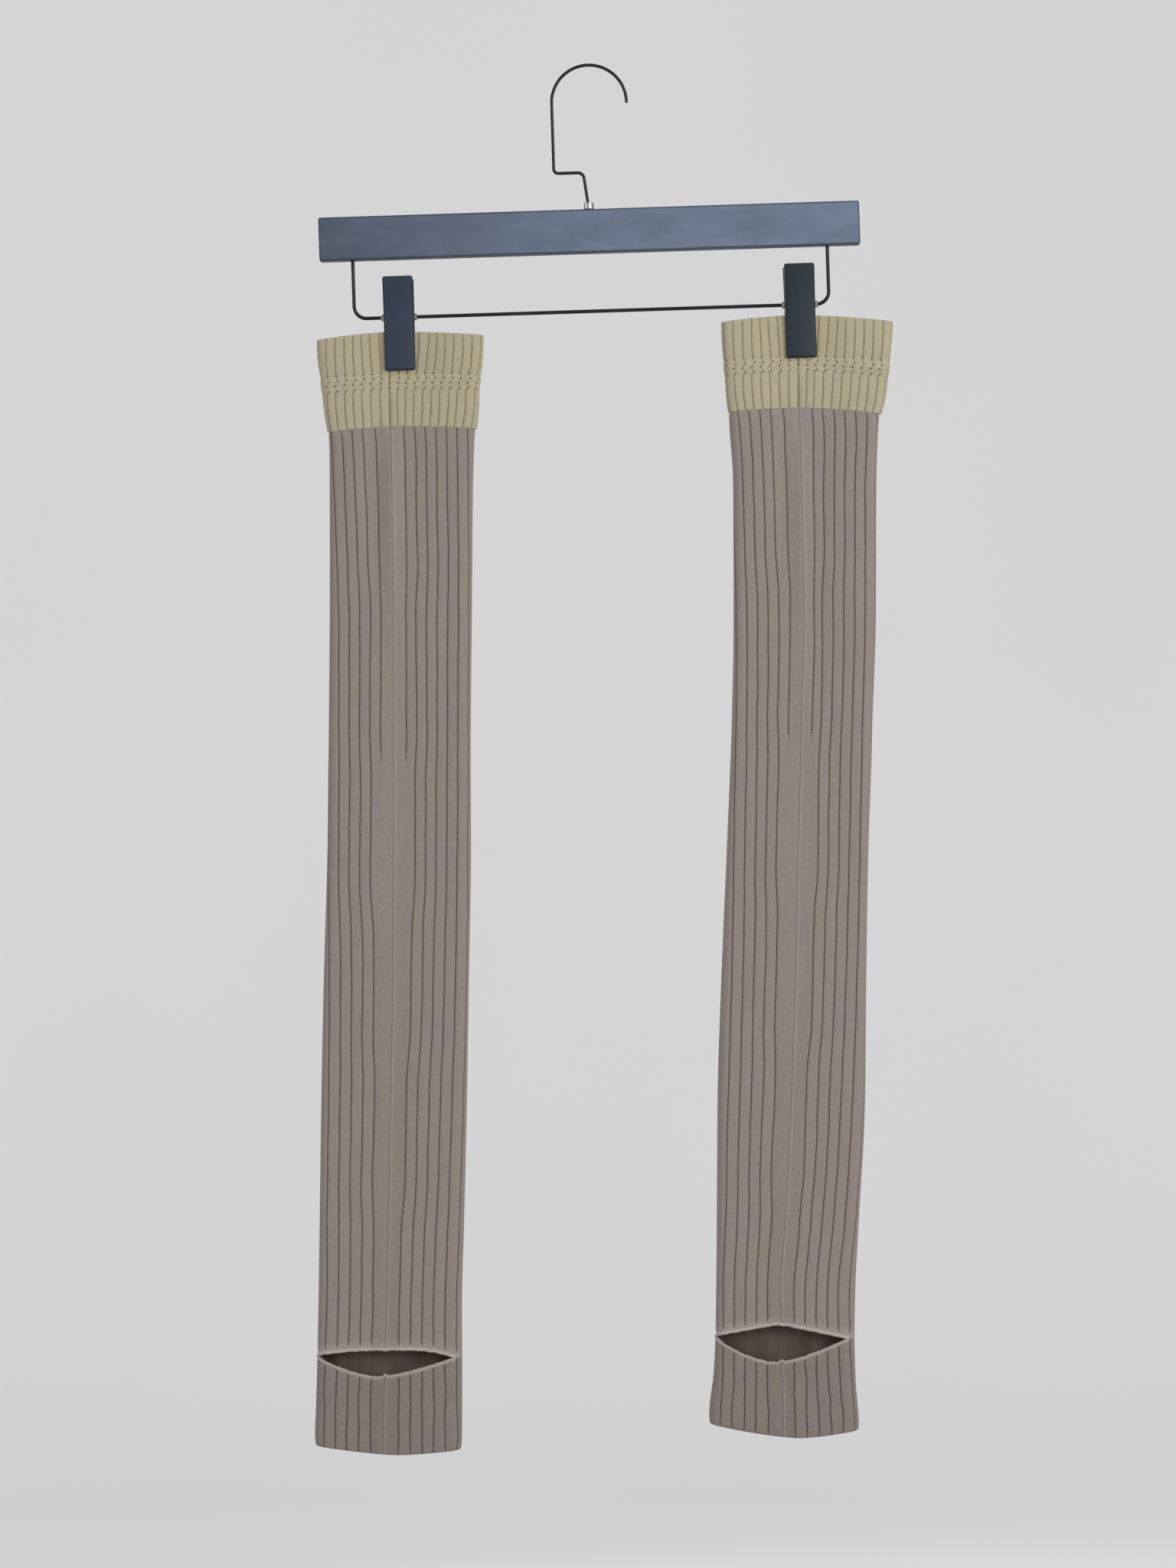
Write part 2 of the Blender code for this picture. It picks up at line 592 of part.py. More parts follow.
def spans(row):
    """The inner ring's stretches, as pairs of outer indices, the last one ending past the seam."""
    outer, inner = row
    stops = sorted(inner)
    return list(zip(stops, stops[1:] + [len(outer)]))


def join_rows(shape, above, below):
    """The outer and inner faces between two levels of a wall."""
    count = len(above[0])
    steps = [(index, index + 1) for index in range(count)]
    for ring, pairs, turn in ((0, steps, 1), (1, spans(above), -1)):
        upper = above[ring]
        lower = below[ring]
        for first, second in pairs:
            second %= count
            corners = [upper[first], lower[first], lower[second], upper[second]]
            shape.faces.new(corners[::turn])


def close_edge(shape, row, facing_up, stretches):
    """The faces between the outer and inner rings along an open edge."""
    outer, inner = row
    count = len(outer)
    for first, second in stretches:
        corners = [inner[first]] + [outer[index % count] for index in range(first, second + 1)]
        corners.append(inner[second % count])
        shape.faces.new(corners if facing_up else corners[::-1])


def lip_height(lip, share):
    """The height of a heel lip at a share of the way from its left to its right corner."""
    if share < lip.apex:
        from_apex = 1 - share / lip.apex
    else:
        from_apex = (share - lip.apex) / (1 - lip.apex)
    return lip.rise * (1 - from_apex ** lip.fullness)


def heel_rim(level, lip, sign, beyond, smooth):
    """A rim function for a row that runs beyond a heel lip. sign is 1 above and -1 below."""
    whole = girth(LEG, level)
    spots = stations(LEG, level)
    right = spots[HEEL_END_RIGHT][0]
    left = spots[HEEL_END_LEFT][0] - whole

    def rim(index, along):
        if HEEL_END_RIGHT <= index <= HEEL_END_LEFT:
            return sign * beyond, 0.0
        signed = along - whole if index > HEEL_END_LEFT else along
        height = lip_height(lip, (signed - left) / (right - left))
        return sign * (height + beyond), smooth

    return rim


def make_cuff(stocking, origin, parts, look):
    """A stocking's finer ribbed cuff, pressed together where the clip holds it."""
    shape = bmesh.new()
    rows = [wall_row(shape, CUFF, level, origin) for level in stocking.cuff]
    for above, below in zip(rows, rows[1:]):
        join_rows(shape, above, below)
    close_edge(shape, rows[0], True, spans(rows[0]))
    close_edge(shape, rows[-1], False, spans(rows[-1]))
    place(mesh_object(f"{stocking.side}_cuff", shape), parts, look)


def make_leg(stocking, origin, parts, look):
    """A stocking's leg and foot in one, with the heel opening in its near face."""
    shape = bmesh.new()
    heel = next(level for level in stocking.leg if level.drop == stocking.heel_drop)
    corners = (HEEL_END_RIGHT, HEEL_END_LEFT)
    stages = ((RIM_NECK, 0.0), (RIM_BEAD, 1.0), (0.0, 0.5))

    def row(level, rim=None):
        return wall_row(shape, LEG, level, origin, rim, corners)

    above = [row(level) for level in stocking.leg if level.drop < heel.drop]
    above += [row(heel, heel_rim(heel, stocking.upper_lip, 1, *stage)) for stage in stages]
    below = [row(heel, heel_rim(heel, stocking.lower_lip, -1, *stage)) for stage in stages[::-1]]
    below += [row(level) for level in stocking.leg if level.drop > heel.drop]
    share_row(shape, above[-1], below[0])
    for upper, lower in [*zip(above, above[1:]), *zip(below, below[1:])]:
        join_rows(shape, upper, lower)
    opened = [
        (first, second)
        for first, second in spans(above[-1])
        if second <= HEEL_END_RIGHT or first >= HEEL_END_LEFT
    ]
    close_edge(shape, above[0], True, spans(above[0]))
    close_edge(shape, above[-1], False, opened)
    close_edge(shape, below[0], True, opened)
    close_edge(shape, below[-1], False, spans(below[-1]))
    place(mesh_object(f"{stocking.side}_leg", shape), parts, look)


def share_row(shape, above, below):
    """Gives the lower lip's row the upper lip's points where the wall isn't open."""
    for index in range(HEEL_END_RIGHT, HEEL_END_LEFT + 1):
        for upper, lower in zip(above, below):
            if lower is below[0] or index in lower:
                shape.verts.remove(lower[index])
                lower[index] = upper[index]


def make_stocking(layout, stocking, parts, looks):
    """One stocking, hung by its cuff from its clip."""
    tilt = math.radians(HANGER_TILT)
    x = layout.middle + stocking.clip_place
    clip_x = x * math.cos(tilt) - layout.wire_level * math.sin(tilt)
    clip_z = x * math.sin(tilt) + layout.wire_level * math.cos(tilt)
    origin = Vector((clip_x, 0.0, clip_z - stocking.cuff_drop))
    make_cuff(stocking, origin, parts, looks["cuff_yarn"])
    make_leg(stocking, origin, parts, looks["leg_yarn"])


def main():
    """Builds the hanger, its clips and the stockings."""
    for old in list(bpy.data.objects):
        bpy.data.objects.remove(old)
    parts = new_collection("stockings_on_clip_hanger")
    cutters = new_collection("cutters")
    looks = {
        "wood": material("painted_wood", (0.045, 0.055, 0.065), 0.55),
        "wire": material("painted_wire", (0.02, 0.025, 0.025), 0.4),
        "steel": material("bright_steel", (0.62, 0.62, 0.63), 0.3, 1.0),
        "plastic": material("clip_plastic", (0.035, 0.045, 0.065), 0.45),
        "cuff_yarn": material("cuff_yarn", (0.46, 0.42, 0.28), 0.9),
        "leg_yarn": material("leg_yarn", (0.28, 0.24, 0.21), 0.9),
    }
    layout = hanger_layout()
    hanger = place(bpy.data.objects.new("hanger", None), parts)
    hanger.rotation_euler = (0.0, -math.radians(HANGER_TILT), 0.0)
    make_bar(layout, parts, cutters, hanger, looks["wood"])
    make_hook(layout, parts, hanger, looks["wire"])
    make_ferrule(layout, parts, hanger, looks["steel"])
    make_lower_wire(layout, parts, hanger, looks["wire"])
    for stocking in STOCKINGS:
        make_clip(layout, stocking, parts, cutters, hanger, looks)
        make_stocking(layout, stocking, parts, looks)


if __name__ == "__main__":
    main()
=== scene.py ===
"""Knits and finishes a pair of long ribbed stockings that hang from a flat wooden clip hanger.

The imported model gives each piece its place. Here every stocking gets its fine knitted surface, with
slit grooves between the ribs, a shirred band, a rolled heel rim and soft creases, and the hanger
gets its paint, plastic and plated metal. Cloth sizes are in millimetres, and MM turns them to metres.
"""

import math
from collections import namedtuple

import bmesh
import bpy
import numpy as np
from bpy.props import FloatProperty, FloatVectorProperty, PointerProperty
from mathutils import Matrix, Vector, noise


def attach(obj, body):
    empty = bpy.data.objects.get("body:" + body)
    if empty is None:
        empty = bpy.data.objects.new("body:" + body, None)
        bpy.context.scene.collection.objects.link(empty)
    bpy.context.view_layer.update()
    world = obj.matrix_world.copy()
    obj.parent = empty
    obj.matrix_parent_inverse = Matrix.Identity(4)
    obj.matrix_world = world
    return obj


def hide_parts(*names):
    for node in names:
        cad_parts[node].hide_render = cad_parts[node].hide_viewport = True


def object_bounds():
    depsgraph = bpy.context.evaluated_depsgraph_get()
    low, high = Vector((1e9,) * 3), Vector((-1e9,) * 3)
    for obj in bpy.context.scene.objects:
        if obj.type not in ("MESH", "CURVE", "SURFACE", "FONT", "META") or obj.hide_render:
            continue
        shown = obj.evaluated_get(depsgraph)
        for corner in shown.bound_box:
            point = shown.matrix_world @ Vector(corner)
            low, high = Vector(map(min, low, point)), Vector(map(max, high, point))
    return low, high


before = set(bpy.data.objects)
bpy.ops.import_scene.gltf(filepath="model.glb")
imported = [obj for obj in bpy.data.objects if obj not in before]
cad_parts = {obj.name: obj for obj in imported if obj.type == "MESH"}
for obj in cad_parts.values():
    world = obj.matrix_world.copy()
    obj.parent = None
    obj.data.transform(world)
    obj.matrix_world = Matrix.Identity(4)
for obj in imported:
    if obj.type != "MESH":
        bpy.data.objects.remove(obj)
CAD_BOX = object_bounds()

bl_info = {
    "name": "Ribbed stockings on a clip hanger",
    "version": (1, 0, 0),
    "blender": (4, 5, 0),
    "location": "View3D > Sidebar > Stockings",
    "description": "Knits the stockings, finishes their hanger and sets the stage",
    "category": "Mesh",
}

MM = 0.001
BODY = "root"

# The photograph's frame, and the pixel of the part's origin
PHOTO_WIDTH = 1536
PHOTO_HEIGHT = 2048
PHOTO_ORIGIN = (769.2, 87.2)
MM_PER_PIXEL = 0.4958

# Hanger, in its own level frame, which hangs tilted from the origin
HANGER_TILT = 1.83
BAR_LENGTH = 350.0
BAR_HEIGHT = 28.0
BAR_DEPTH = 12.0
HOLE_DEPTH = 14.0
HOOK_WIRE = 2.1
HOOK_CROWN_RADIUS = 24.2
HOOK_CROWN_OFFSET = 2.5
HOOK_CROWN_HEIGHT = 69.6
HOOK_TIP_ANGLE = -2.0
HOOK_JOG_HEIGHT = 24.3
HOOK_BEND = 4.0
HOOK_TIGHT_BEND = 3.0
HOOK_LEAN = 2.2
FERRULE_DIAMETER = 7.2
FERRULE_HEIGHT = 4.3
FERRULE_CHAMFER = 0.35
FERRULE_FIT = 0.05
LOWER_WIRE = 2.4
LOWER_WIRE_INSET = 21.3
LOWER_WIRE_DROP = 37.6
LOWER_WIRE_BEND = 8.0
CLEARANCE = 0.3
CLIP_WIDTH = 19.6
CLIP_ABOVE_WIRE = 25.8
CLIP_BELOW_WIRE = 34.7
CLIP_PIVOT_HALF = 2.0
CLIP_GRIP_BELOW_WIRE = 6.3
CLIP_CORNER = 1.5
CLIP_ROW = 1.5
ARM_THICKNESS = 2.6
ARM_EDGE = 0.8
HANDLE_GAP = 8.0
PIVOT_GAP = 3.5
GRIP_GAP = 2.7
FOLD_SPAN = 5.0
CHEEK_RADIUS = 3.0
CHEEK_THICKNESS = 1.6
CHEEK_ROOT = 4.2
CHEEK_INSETS = {"front": 0.3, "back": 2.4}
SLEEVE_WALL = 0.4
SLEEVE_PROUD = 1.8
SLEEVE_FLANGE = 2.3
SLEEVE_FLANGE_THICKNESS = 0.5
SLEEVE_FIT = 0.1
SPRING_WIRE = 0.7
SPRING_TURNS = 3.5
SPRING_PITCH = 1.1
SPRING_LEG = 15.0

# Into how many steps the round forms are divided: the bends and the crown of the wires, one turn of a
# spring, and the collar and a sleeve all round
HOOK_BEND_STEPS = 12
HOOK_CROWN_STEPS = 64
LOWER_WIRE_BEND_STEPS = 14
SPRING_STEPS = 28
FERRULE_STEPS = 40
SLEEVE_STEPS = 32

# Points that are closer together than this are joined
SNAP = 0.01

# How the corners and edges of a clip's plate are rounded, and from which angles edges look sharp
ROUND = {"offset_type": "OFFSET", "profile": 0.5, "material": -1}
PLATE_SHARP = 50
TURNED_SHARP = 35

# Cloth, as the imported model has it
GRIP_HALF_WIDTH = 11.5
GRIP_FADE = 24.0
FALL_POWER = 1.5
CUFF_RIBS = 38
LEG_RIBS = 24
SHORT_GROOVE = 0.55
SEAM_GROOVE = 0.35

# How far from a groove its ribs round off, and from the heel opening the rows bend with its lips
CROWN_SPAN = 1.3
HEEL_REACH = 32.0

# How far the cuff's grooves stand off their course above its band, at each row of marks and below
MARK_JOGS = (0.0, -0.1, 0.95, -0.8, 0.4, -1.1)
MARK_HEIGHT = 0.7
MARK_FADE = (2.5, 1.3)

# How far the shirred band reaches past its marks, and its close rows of points, how softly it ends, how
# much the grooves fade in it and deepen at a mark, and how much the cuff's seam deepens below it
BAND_PAST = 1.0
BAND_ROWS_PAST = 3.0
BAND_SOFT = 1.5
BAND_FADE = 0.8
MARK_DEPTH = 0.9
SEAM_DEPTH = 0.8
SEAM_DEPTH_SPAN = 3.0

# How far a mark sinks a groove and the band's puckers rise, and how pale the painted highlights on the
# puckers and the top edge look
MARK_SINK = 0.3
PUCKER_RISE = 0.6
PUCKER_PALE = 0.9
TOP_PALE = 0.3
TOP_PALE_SPAN = 1.4

# What each point of the cloth notes for its material
LOOKS = ("groove", "rim", "inside", "seam", "ridge", "foot", "tint")

# The shades of a yarn, as its settings and its material name them
SHADES = ("warm", "cool", "pale", "deep", "back")

# Where the columns of points lie in each rib, as shares of the way from groove to groove
LEG_SHARES = (0.0, 0.03, 0.06, 0.11, 0.22, 0.36, 0.5, 0.64, 0.78, 0.89, 0.94, 0.97)
CUFF_SHARES = (0.0, 0.035, 0.075, 0.14, 0.3, 0.5, 0.7, 0.86, 0.925, 0.965)

# The columns where the heel opening ends, by whole ribs from the seam and steps into the next
HEEL_RIGHT = len(LEG_SHARES) * 6 + 7
HEEL_LEFT = len(LEG_SHARES) * 21 + 4

# Distances from an open edge at which the walls have a row of points
EDGE_STEPS = (0.0, 0.12, 0.35, 0.7, 1.2, 2.0, 3.2)
RIM_STEPS = (0.0, 0.12, 0.4, 0.8, 1.2, 1.6, 1.95, 2.25, 2.6, 3.0, 3.5, 4.1, 4.8, 5.6, 6.8, 8.2, 10.0, 12.5)
INNER_STEPS = (0.0, 0.25, 0.7, 2.0, 5.0)
LEG_ROW = 3.8
CUFF_ROW = 2.2
BAND_ROW = 0.5
INNER_ROW = 20.0
INNER_CUFF_ROW = 6.0

# How far from the seam its dark line of painted shade is noted, and how far to its right the pale ridge
# beside it lies, with its painted highlight
SEAM_SPAN = 2.0
SEAM_RIDGE = 0.9

# The step where stitches are dropped: how far aside, half its height, and over how many ribs it fades.
# Then its small stitches: across, down and turn, and their form and how deep they sit
KINK = 0.6
KINK_REACH = 16.0
KINK_RIBS = 4
DROPPED_STITCHES = ((0.0, 0.0, 28), (1.2, -0.9, 40), (-1.1, 0.8, 18), (0.3, 1.6, -20))
STITCH_FORM = (0.34, 0.4, 0.75, 1.0)
STITCH_SINK = 0.92

# Rolled rim of the heel opening
RIM_RADIUS = 1.2
RIM_LIFT = 1.55
RIM_ROOT = -0.25
RIM_NECK = 0.5

# The upper and lower edge of the heel opening: how far a groove pulls it, how far it dips at the seam,
# where the ribs set in beside it and over how much they rise, and how pale its rim and the cloth beside look
HeelEdge = namedtuple("HeelEdge", "pull dip fade_start fade_span rim band")
HEEL_EDGES = {1: HeelEdge(0.15, 0.5, 2.7, 2.8, 1.0, 0.48), -1: HeelEdge(-0.3, 1.5, 2.2, 1.0, 0.8, 0.0)}

# How wide the dip at the seam is, how far the rim looks pale and over how much, and so beside it
DIP_WIDTH = 1.3
RIM_PALE = 2.1
RIM_PALE_FADE = 0.9
BESIDE_PALE = 3.0
BESIDE_PALE_FADE = 6.0

# How far the leg's top runs up inside the cuff, how far in it lies there, and how much of its relief is
# left at the cuff's foot. The spans are the ways over which they change
TUCK = 2.2
TUCK_OFFSET = -0.3
TUCK_SPAN = 1.1
TUCK_RELIEF = 0.55
TUCK_RELIEF_SPAN = 0.9

# How deep the ribs scallop the cuff's foot and its top, and how far these are raised
FOOT_SCALLOP = 0.7
FOOT_LIFT = 0.25
TOP_SCALLOP = 0.2
TOP_LIFT = -0.1
SCALLOP_SPAN = 3.0
TOP_WAVE_SPAN = 2.0

# How the outer wall rounds over to each open edge: where it ends and from how far
HEM_ROUND = (-0.5, 0.8)
CUFF_TOP_ROUND = (-0.5, 0.9)
CUFF_FOOT_ROUND = (-0.2, 0.6)

# How far the inner wall comes out to each open edge and over how much, and how the ribs show on it
HEEL_TURN_OUT = 0.85
HEM_TURN_OUT = 0.7
CUFF_TURN_OUT = 0.6
INNER_TURN = 0.7
LEG_INNER_RIB = 0.12
LEG_INNER_RIB_SPAN = 3.0
CUFF_INNER_RIB = 0.1

# How dark the painted shade in a groove looks on the cuff, how much darker at a mark, and what is left of it
# on an inner wall
CUFF_GROOVE_SHADE = 0.8
MARK_SHADE = 0.5
LEG_INNER_SHADE = 0.75
CUFF_INNER_SHADE = 0.6

# Over how much a groove pulls at the heel's edge, and how far the hem follows the ribs, over how much
PULL_SPAN = 4.0
HEM_WAVE = 0.12
HEM_WAVE_SPAN = 5.0

# Uneven waves of the cloth: how far each reaches across, in millimetres or ribs, and down, how high it
# is and what it adds to the seed. Grooves sway, edges and faces swell, and the yarn's tint drifts.
Wave = namedtuple("Wave", "across down height seed")
BROAD_SWELL = Wave(34.0, 95.0, 0.55, 0.0)
FINE_SWELL = Wave(12.0, 40.0, 0.16, 5.0)
SLOW_SWAY = Wave(1 / 2.3, 26.0, 1.0, 0.0)
QUICK_SWAY = Wave(1 / 1.9, 9.0, 0.55, 1.0)
CUFF_SWAY = Wave(1 / 1.7, 11.0, 1.0, 0.0)
CUFF_FADE = Wave(1.0, 3.0, 0.2, 0.2)
JOG_SIZE = Wave(1.0, 1.0, 0.35, 0.7)
JOG_DELAY = Wave(1 / 0.9, 1.0, 0.7, 0.0)
PUCKER = Wave(1.7, 1.5, 1.0, 6.0)
TOP_WAVE = Wave(1.6, 1.0, 0.18, 4.0)
LIP_WAVE = Wave(3.4, 1 / 3, 0.36, 0.0)
LIP_RIPPLE = Wave(1.4, 1 / 5, 0.2, 0.5)
RIM_LUMP = Wave(1.7, 1 / 2, 0.22, 2.0)
RIB_TINT = Wave(1.0, 1.0, 0.25, 0.5)
TINT_DRIFT = Wave(1 / 1.3, 40.0, 0.45, 9.0)
TINT_CLOUD = Wave(11.0, 22.0, 0.55, 13.0)

# The tint halfway from cool to warm, how far apart in the noise the ribs' own tints are read and from
# where, how the cuff's tints are drawn out down it, and how pale the decrease stitches look
MIDDLE_TINT = 0.5
TINT_STEP = 3.7
TINT_START = 0.5
CUFF_TINT_STRETCH = 0.7
STITCH_PALE = 0.7

# Where the swell of the faces sets in below the top, and over how much
SWELL_START = 20.0
SWELL_SPAN = 120.0

# How much more the grooves sway in the foot band, from how far below the opening and over how much
FOOT_SWAY = 1.5
FOOT_START = 4.0
FOOT_SPAN = 14.0

# Where the cuff's ribs spread beside the clip, how wide, how much at the top, and how far down
LEAN_PLACE = 17.0
LEAN_WIDTH = 9.0
LEAN = 1.5
LEAN_DROP = 28.0

# How much a stitch's two legs slant, in rows
STITCH_SLANT = 1.7

# Sizes of the patterns in the materials: clouds and flecks of the yarn, brush marks and clouds of the
# paint, runs of the enamel, marks of the turning tool, grain and clouds of the plastic
YARN_CLOUD = 4.76
YARN_FLECK = 0.909
BRUSH_MARK = 1.5625
PAINT_CLOUD = 16.67
ENAMEL_RUN = 2.63
TOOL_MARK = 1.11
PLASTIC_GRAIN = 0.4
PLASTIC_CLOUD = 14.3

# Backdrop and soft lights, in metres: each light's setting, its size and its place
BACKDROP_RADIUS = 5.0
BACKDROP_COVE = 1.5
BACKDROP_HEIGHT = 4.5
BACKDROP_CLOUD = 0.77
BACKDROP_STEPS = 96
BACKDROP_COVE_STEPS = 12
LIGHTS = (
    ("key", 1.5, (1.5, -1.9, 0.35)),
    ("fill", 1.2, (-1.7, -1.5, -0.2)),
    ("back", 1.2, (-1.0, 2.1, 0.2)),
)

Fabric = namedtuple("Fabric", "rib wall crown grooves shares")
CuffLevel = namedtuple("CuffLevel", "drop left right fall_left fall_right depth waist rib seam")
LegLevel = namedtuple(
    "LegLevel", "drop left right fall_left fall_right depth waist rib seam panel_left panel_right short"
)

# A lip of the heel opening: its height, the share of the way to its top, and how full it is on each side
Lip = namedtuple("Lip", "rise apex left right")

# The grooves at one level: their places round it from the seam, their strengths, and the whole way round
Course = namedtuple("Course", "level places strengths girth")

# A soft crease: the face it is on (-1 near, 1 far), its place at the top and how far it leans on the
# way down, its top and bottom, where between them it is strongest, how far it pushes the cloth out
# (in, if negative), and its half width
Crease = namedtuple("Crease", "face x lean top bottom peak push width")

# A pair of decrease stitches: the drop and the places of the left one and the right one
Decrease = namedtuple("Decrease", "drop left right")

Stocking = namedtuple(
    "Stocking", "side clip_place cuff_drop cuff marks leg heel_drop lips creases decreases seed"
)

# Rows of CuffLevel, LegLevel, Crease and Decrease
LEFT_CUFF = [
    (0.0, -53.6, 55.2, 5.7, 2.3, 8.6, 3.2, 0.7, -6.0),
    (12.0, -52.9, 54.5, 5.0, 2.2, 10.8, 3.2, 1.0, -6.0),
    (22.5, -51.6, 53.7, 4.1, 1.3, 11.4, 3.2, 1.0, -6.0),
    (26.9, -51.1, 53.2, 3.8, 0.8, 10.2, 3.8, 0.7, -6.1),
    (31.6, -50.8, 52.9, 3.6, 0.5, 11.6, 5.2, 1.0, -6.2),
    (36.6, -50.2, 52.5, 3.6, 0.4, 10.2, 5.4, 0.7, -6.2),
    (50.0, -48.4, 51.8, 3.8, 0.9, 11.4, 6.4, 1.0, -6.0),
    (61.8, -46.4, 50.6, 4.0, 1.5, 10.4, 6.4, 0.9, -5.8),
]

LEFT_LEG = [
    (62.1, -45.8, 49.6, 4.0, 1.5, 10.0, 6.4, 0.8, -5.8, 17.7, 15.8, 1.0),
    (75.4, -45.1, 48.6, 3.2, 1.2, 10.6, 6.8, 1.0, -5.0, 17.7, 15.8, 1.0),
    (110.0, -45.0, 47.8, 1.6, 0.6, 10.8, 8.6, 1.0, -4.2, 17.0, 15.4, 1.0),
    (168.1, -45.0, 47.3, 0.0, 0.0, 10.8, 10.4, 1.0, -3.4, 15.6, 14.9, 1.0),
    (273.7, -45.7, 46.4, 0.0, 0.0, 10.6, 10.6, 1.0, -3.3, 15.1, 14.3, 1.0),
    (280.0, -45.8, 46.4, 0.0, 0.0, 10.6, 10.6, 1.0, -3.3, 15.1, 14.3, 0.0),
    (333.2, -46.4, 46.6, 0.0, 0.0, 10.6, 10.6, 1.0, -3.4, 14.9, 13.6, 0.0),
    (421.4, -48.9, 45.2, 0.0, 0.0, 10.8, 10.8, 1.0, -3.9, 12.3, 11.8, 0.0),
    (491.8, -50.4, 44.1, 0.0, 0.0, 10.8, 10.8, 1.0, -5.2, 11.0, 10.4, 0.0),
    (578.6, -51.6, 42.1, -0.4, -0.2, 10.8, 10.8, 1.0, -6.8, 10.1, 9.2, 0.0),
    (630.7, -52.4, 40.8, -1.0, -0.6, 11.0, 11.0, 1.0, -7.9, 9.1, 8.1, 0.0),
    (664.4, -53.1, 40.9, -1.6, -1.0, 11.4, 11.4, 1.0, -8.8, 8.9, 8.8, 0.0),
    (695.6, -53.8, 40.9, -4.0, -2.2, 11.4, 11.4, 1.0, -9.6, 8.7, 9.5, 0.0),
    (721.0, -54.6, 40.8, -6.0, -3.3, 11.6, 11.6, 1.0, -9.8, 8.7, 9.5, 0.0),
    (726.6, -54.4, 40.4, -6.0, -3.4, 11.2, 11.2, 0.6, -9.8, 8.7, 9.5, 0.0),
]

RIGHT_CUFF = [
    (0.0, -51.2, 60.8, 4.7, 4.2, 8.6, 3.2, 0.7, -1.1),
    (12.0, -50.6, 59.8, 4.2, 4.0, 10.8, 3.2, 1.0, -1.1),
    (22.0, -49.9, 58.9, 3.7, 3.8, 11.4, 3.2, 1.0, -1.1),
    (26.2, -49.6, 58.5, 3.7, 4.0, 10.2, 3.8, 0.7, -1.1),
    (30.8, -49.3, 58.2, 3.8, 4.2, 11.6, 5.2, 1.0, -1.1),
    (35.4, -48.9, 57.7, 3.8, 4.2, 10.2, 5.4, 0.7, -1.1),
    (50.0, -47.6, 55.6, 3.3, 4.2, 11.4, 6.4, 1.0, -1.1),
    (60.4, -46.5, 52.9, 3.0, 4.2, 10.4, 6.4, 0.9, -1.1),
]

RIGHT_LEG = [
    (60.7, -46.1, 51.8, 3.0, 4.2, 10.0, 6.4, 0.8, -1.1, 18.2, 15.6, 1.0),
    (71.4, -45.4, 50.8, 2.4, 3.4, 10.6, 6.8, 1.0, -0.2, 18.2, 15.6, 1.0),
    (109.6, -43.1, 49.7, 1.0, 1.4, 10.8, 8.6, 1.0, 0.9, 17.8, 14.2, 1.0),
    (194.9, -42.8, 49.4, 0.0, 0.0, 10.8, 10.8, 1.0, 2.4, 16.6, 12.3, 1.0),
    (270.3, -44.2, 47.0, 0.0, 0.0, 10.6, 10.6, 1.0, 0.6, 14.8, 12.3, 1.0),
    (276.6, -44.4, 46.9, 0.0, 0.0, 10.6, 10.6, 1.0, 0.5, 14.8, 12.3, 0.0),
    (342.7, -47.2, 44.7, 0.0, 0.0, 10.6, 10.6, 1.0, -1.2, 13.9, 12.3, 0.0),
    (430.9, -50.8, 43.2, 0.0, 0.0, 10.8, 10.8, 1.0, -3.1, 12.4, 11.0, 0.0),
    (508.7, -53.2, 42.4, 0.0, 0.0, 10.8, 10.8, 1.0, -5.8, 11.2, 9.9, 0.0),
    (589.6, -53.8, 38.2, -0.6, -0.6, 10.8, 10.8, 1.0, -9.8, 9.6, 9.6, 0.0),
    (630.2, -54.2, 36.2, -1.4, -1.0, 11.0, 11.0, 1.0, -12.8, 8.3, 8.8, 0.0),
    (663.3, -54.7, 35.6, -2.4, -1.6, 11.4, 11.4, 1.0, -12.2, 9.0, 8.2, 0.0),
    (690.2, -55.9, 36.2, -5.0, -3.2, 11.4, 11.4, 1.0, -11.4, 9.9, 7.8, 0.0),
    (720.5, -58.6, 38.4, -9.0, -5.0, 11.6, 11.6, 1.0, -11.0, 9.9, 7.8, 0.0),
    (726.3, -58.6, 38.6, -9.1, -5.2, 11.2, 11.2, 0.6, -11.0, 9.9, 7.8, 0.0),
]

LEFT_CREASES = [
    (-1, -6.2, 0.4, 33.0, 84.0, 0.35, -1.1, 1.5),
    (-1, -4.2, 1.4, 34.0, 245.0, 0.3, 2.7, 5.2),
    (-1, -15.0, -1.0, 38.0, 240.0, 0.35, -1.9, 5.0),
    (-1, 15.0, 9.0, 30.0, 170.0, 0.4, 0.7, 7.5),
    (-1, -25.0, -6.0, 20.0, 150.0, 0.5, 0.6, 8.0),
    (-1, 30.0, -4.0, 150.0, 420.0, 0.4, -0.7, 11.0),
    (-1, -22.0, 5.0, 250.0, 560.0, 0.6, 0.7, 12.0),
    (-1, 8.0, -9.0, 380.0, 640.0, 0.5, -0.6, 10.0),
    (-1, -34.0, 2.0, 560.0, 700.0, 0.6, -0.7, 8.0),
    (-1, 22.0, -3.0, 660.0, 730.0, 0.5, 0.7, 9.0),
    (1, 4.0, -4.0, 34.0, 190.0, 0.25, -0.9, 5.0),
    (1, -16.0, -7.0, 30.0, 180.0, 0.4, 0.7, 8.0),
    (1, 24.0, 6.0, 24.0, 240.0, 0.35, 0.6, 9.0),
    (1, -8.0, 10.0, 260.0, 600.0, 0.5, 0.8, 12.0),
    (1, 26.0, -8.0, 420.0, 715.0, 0.6, -0.8, 10.0),
    (1, -32.0, 4.0, 610.0, 728.0, 0.5, 0.8, 8.0),
]

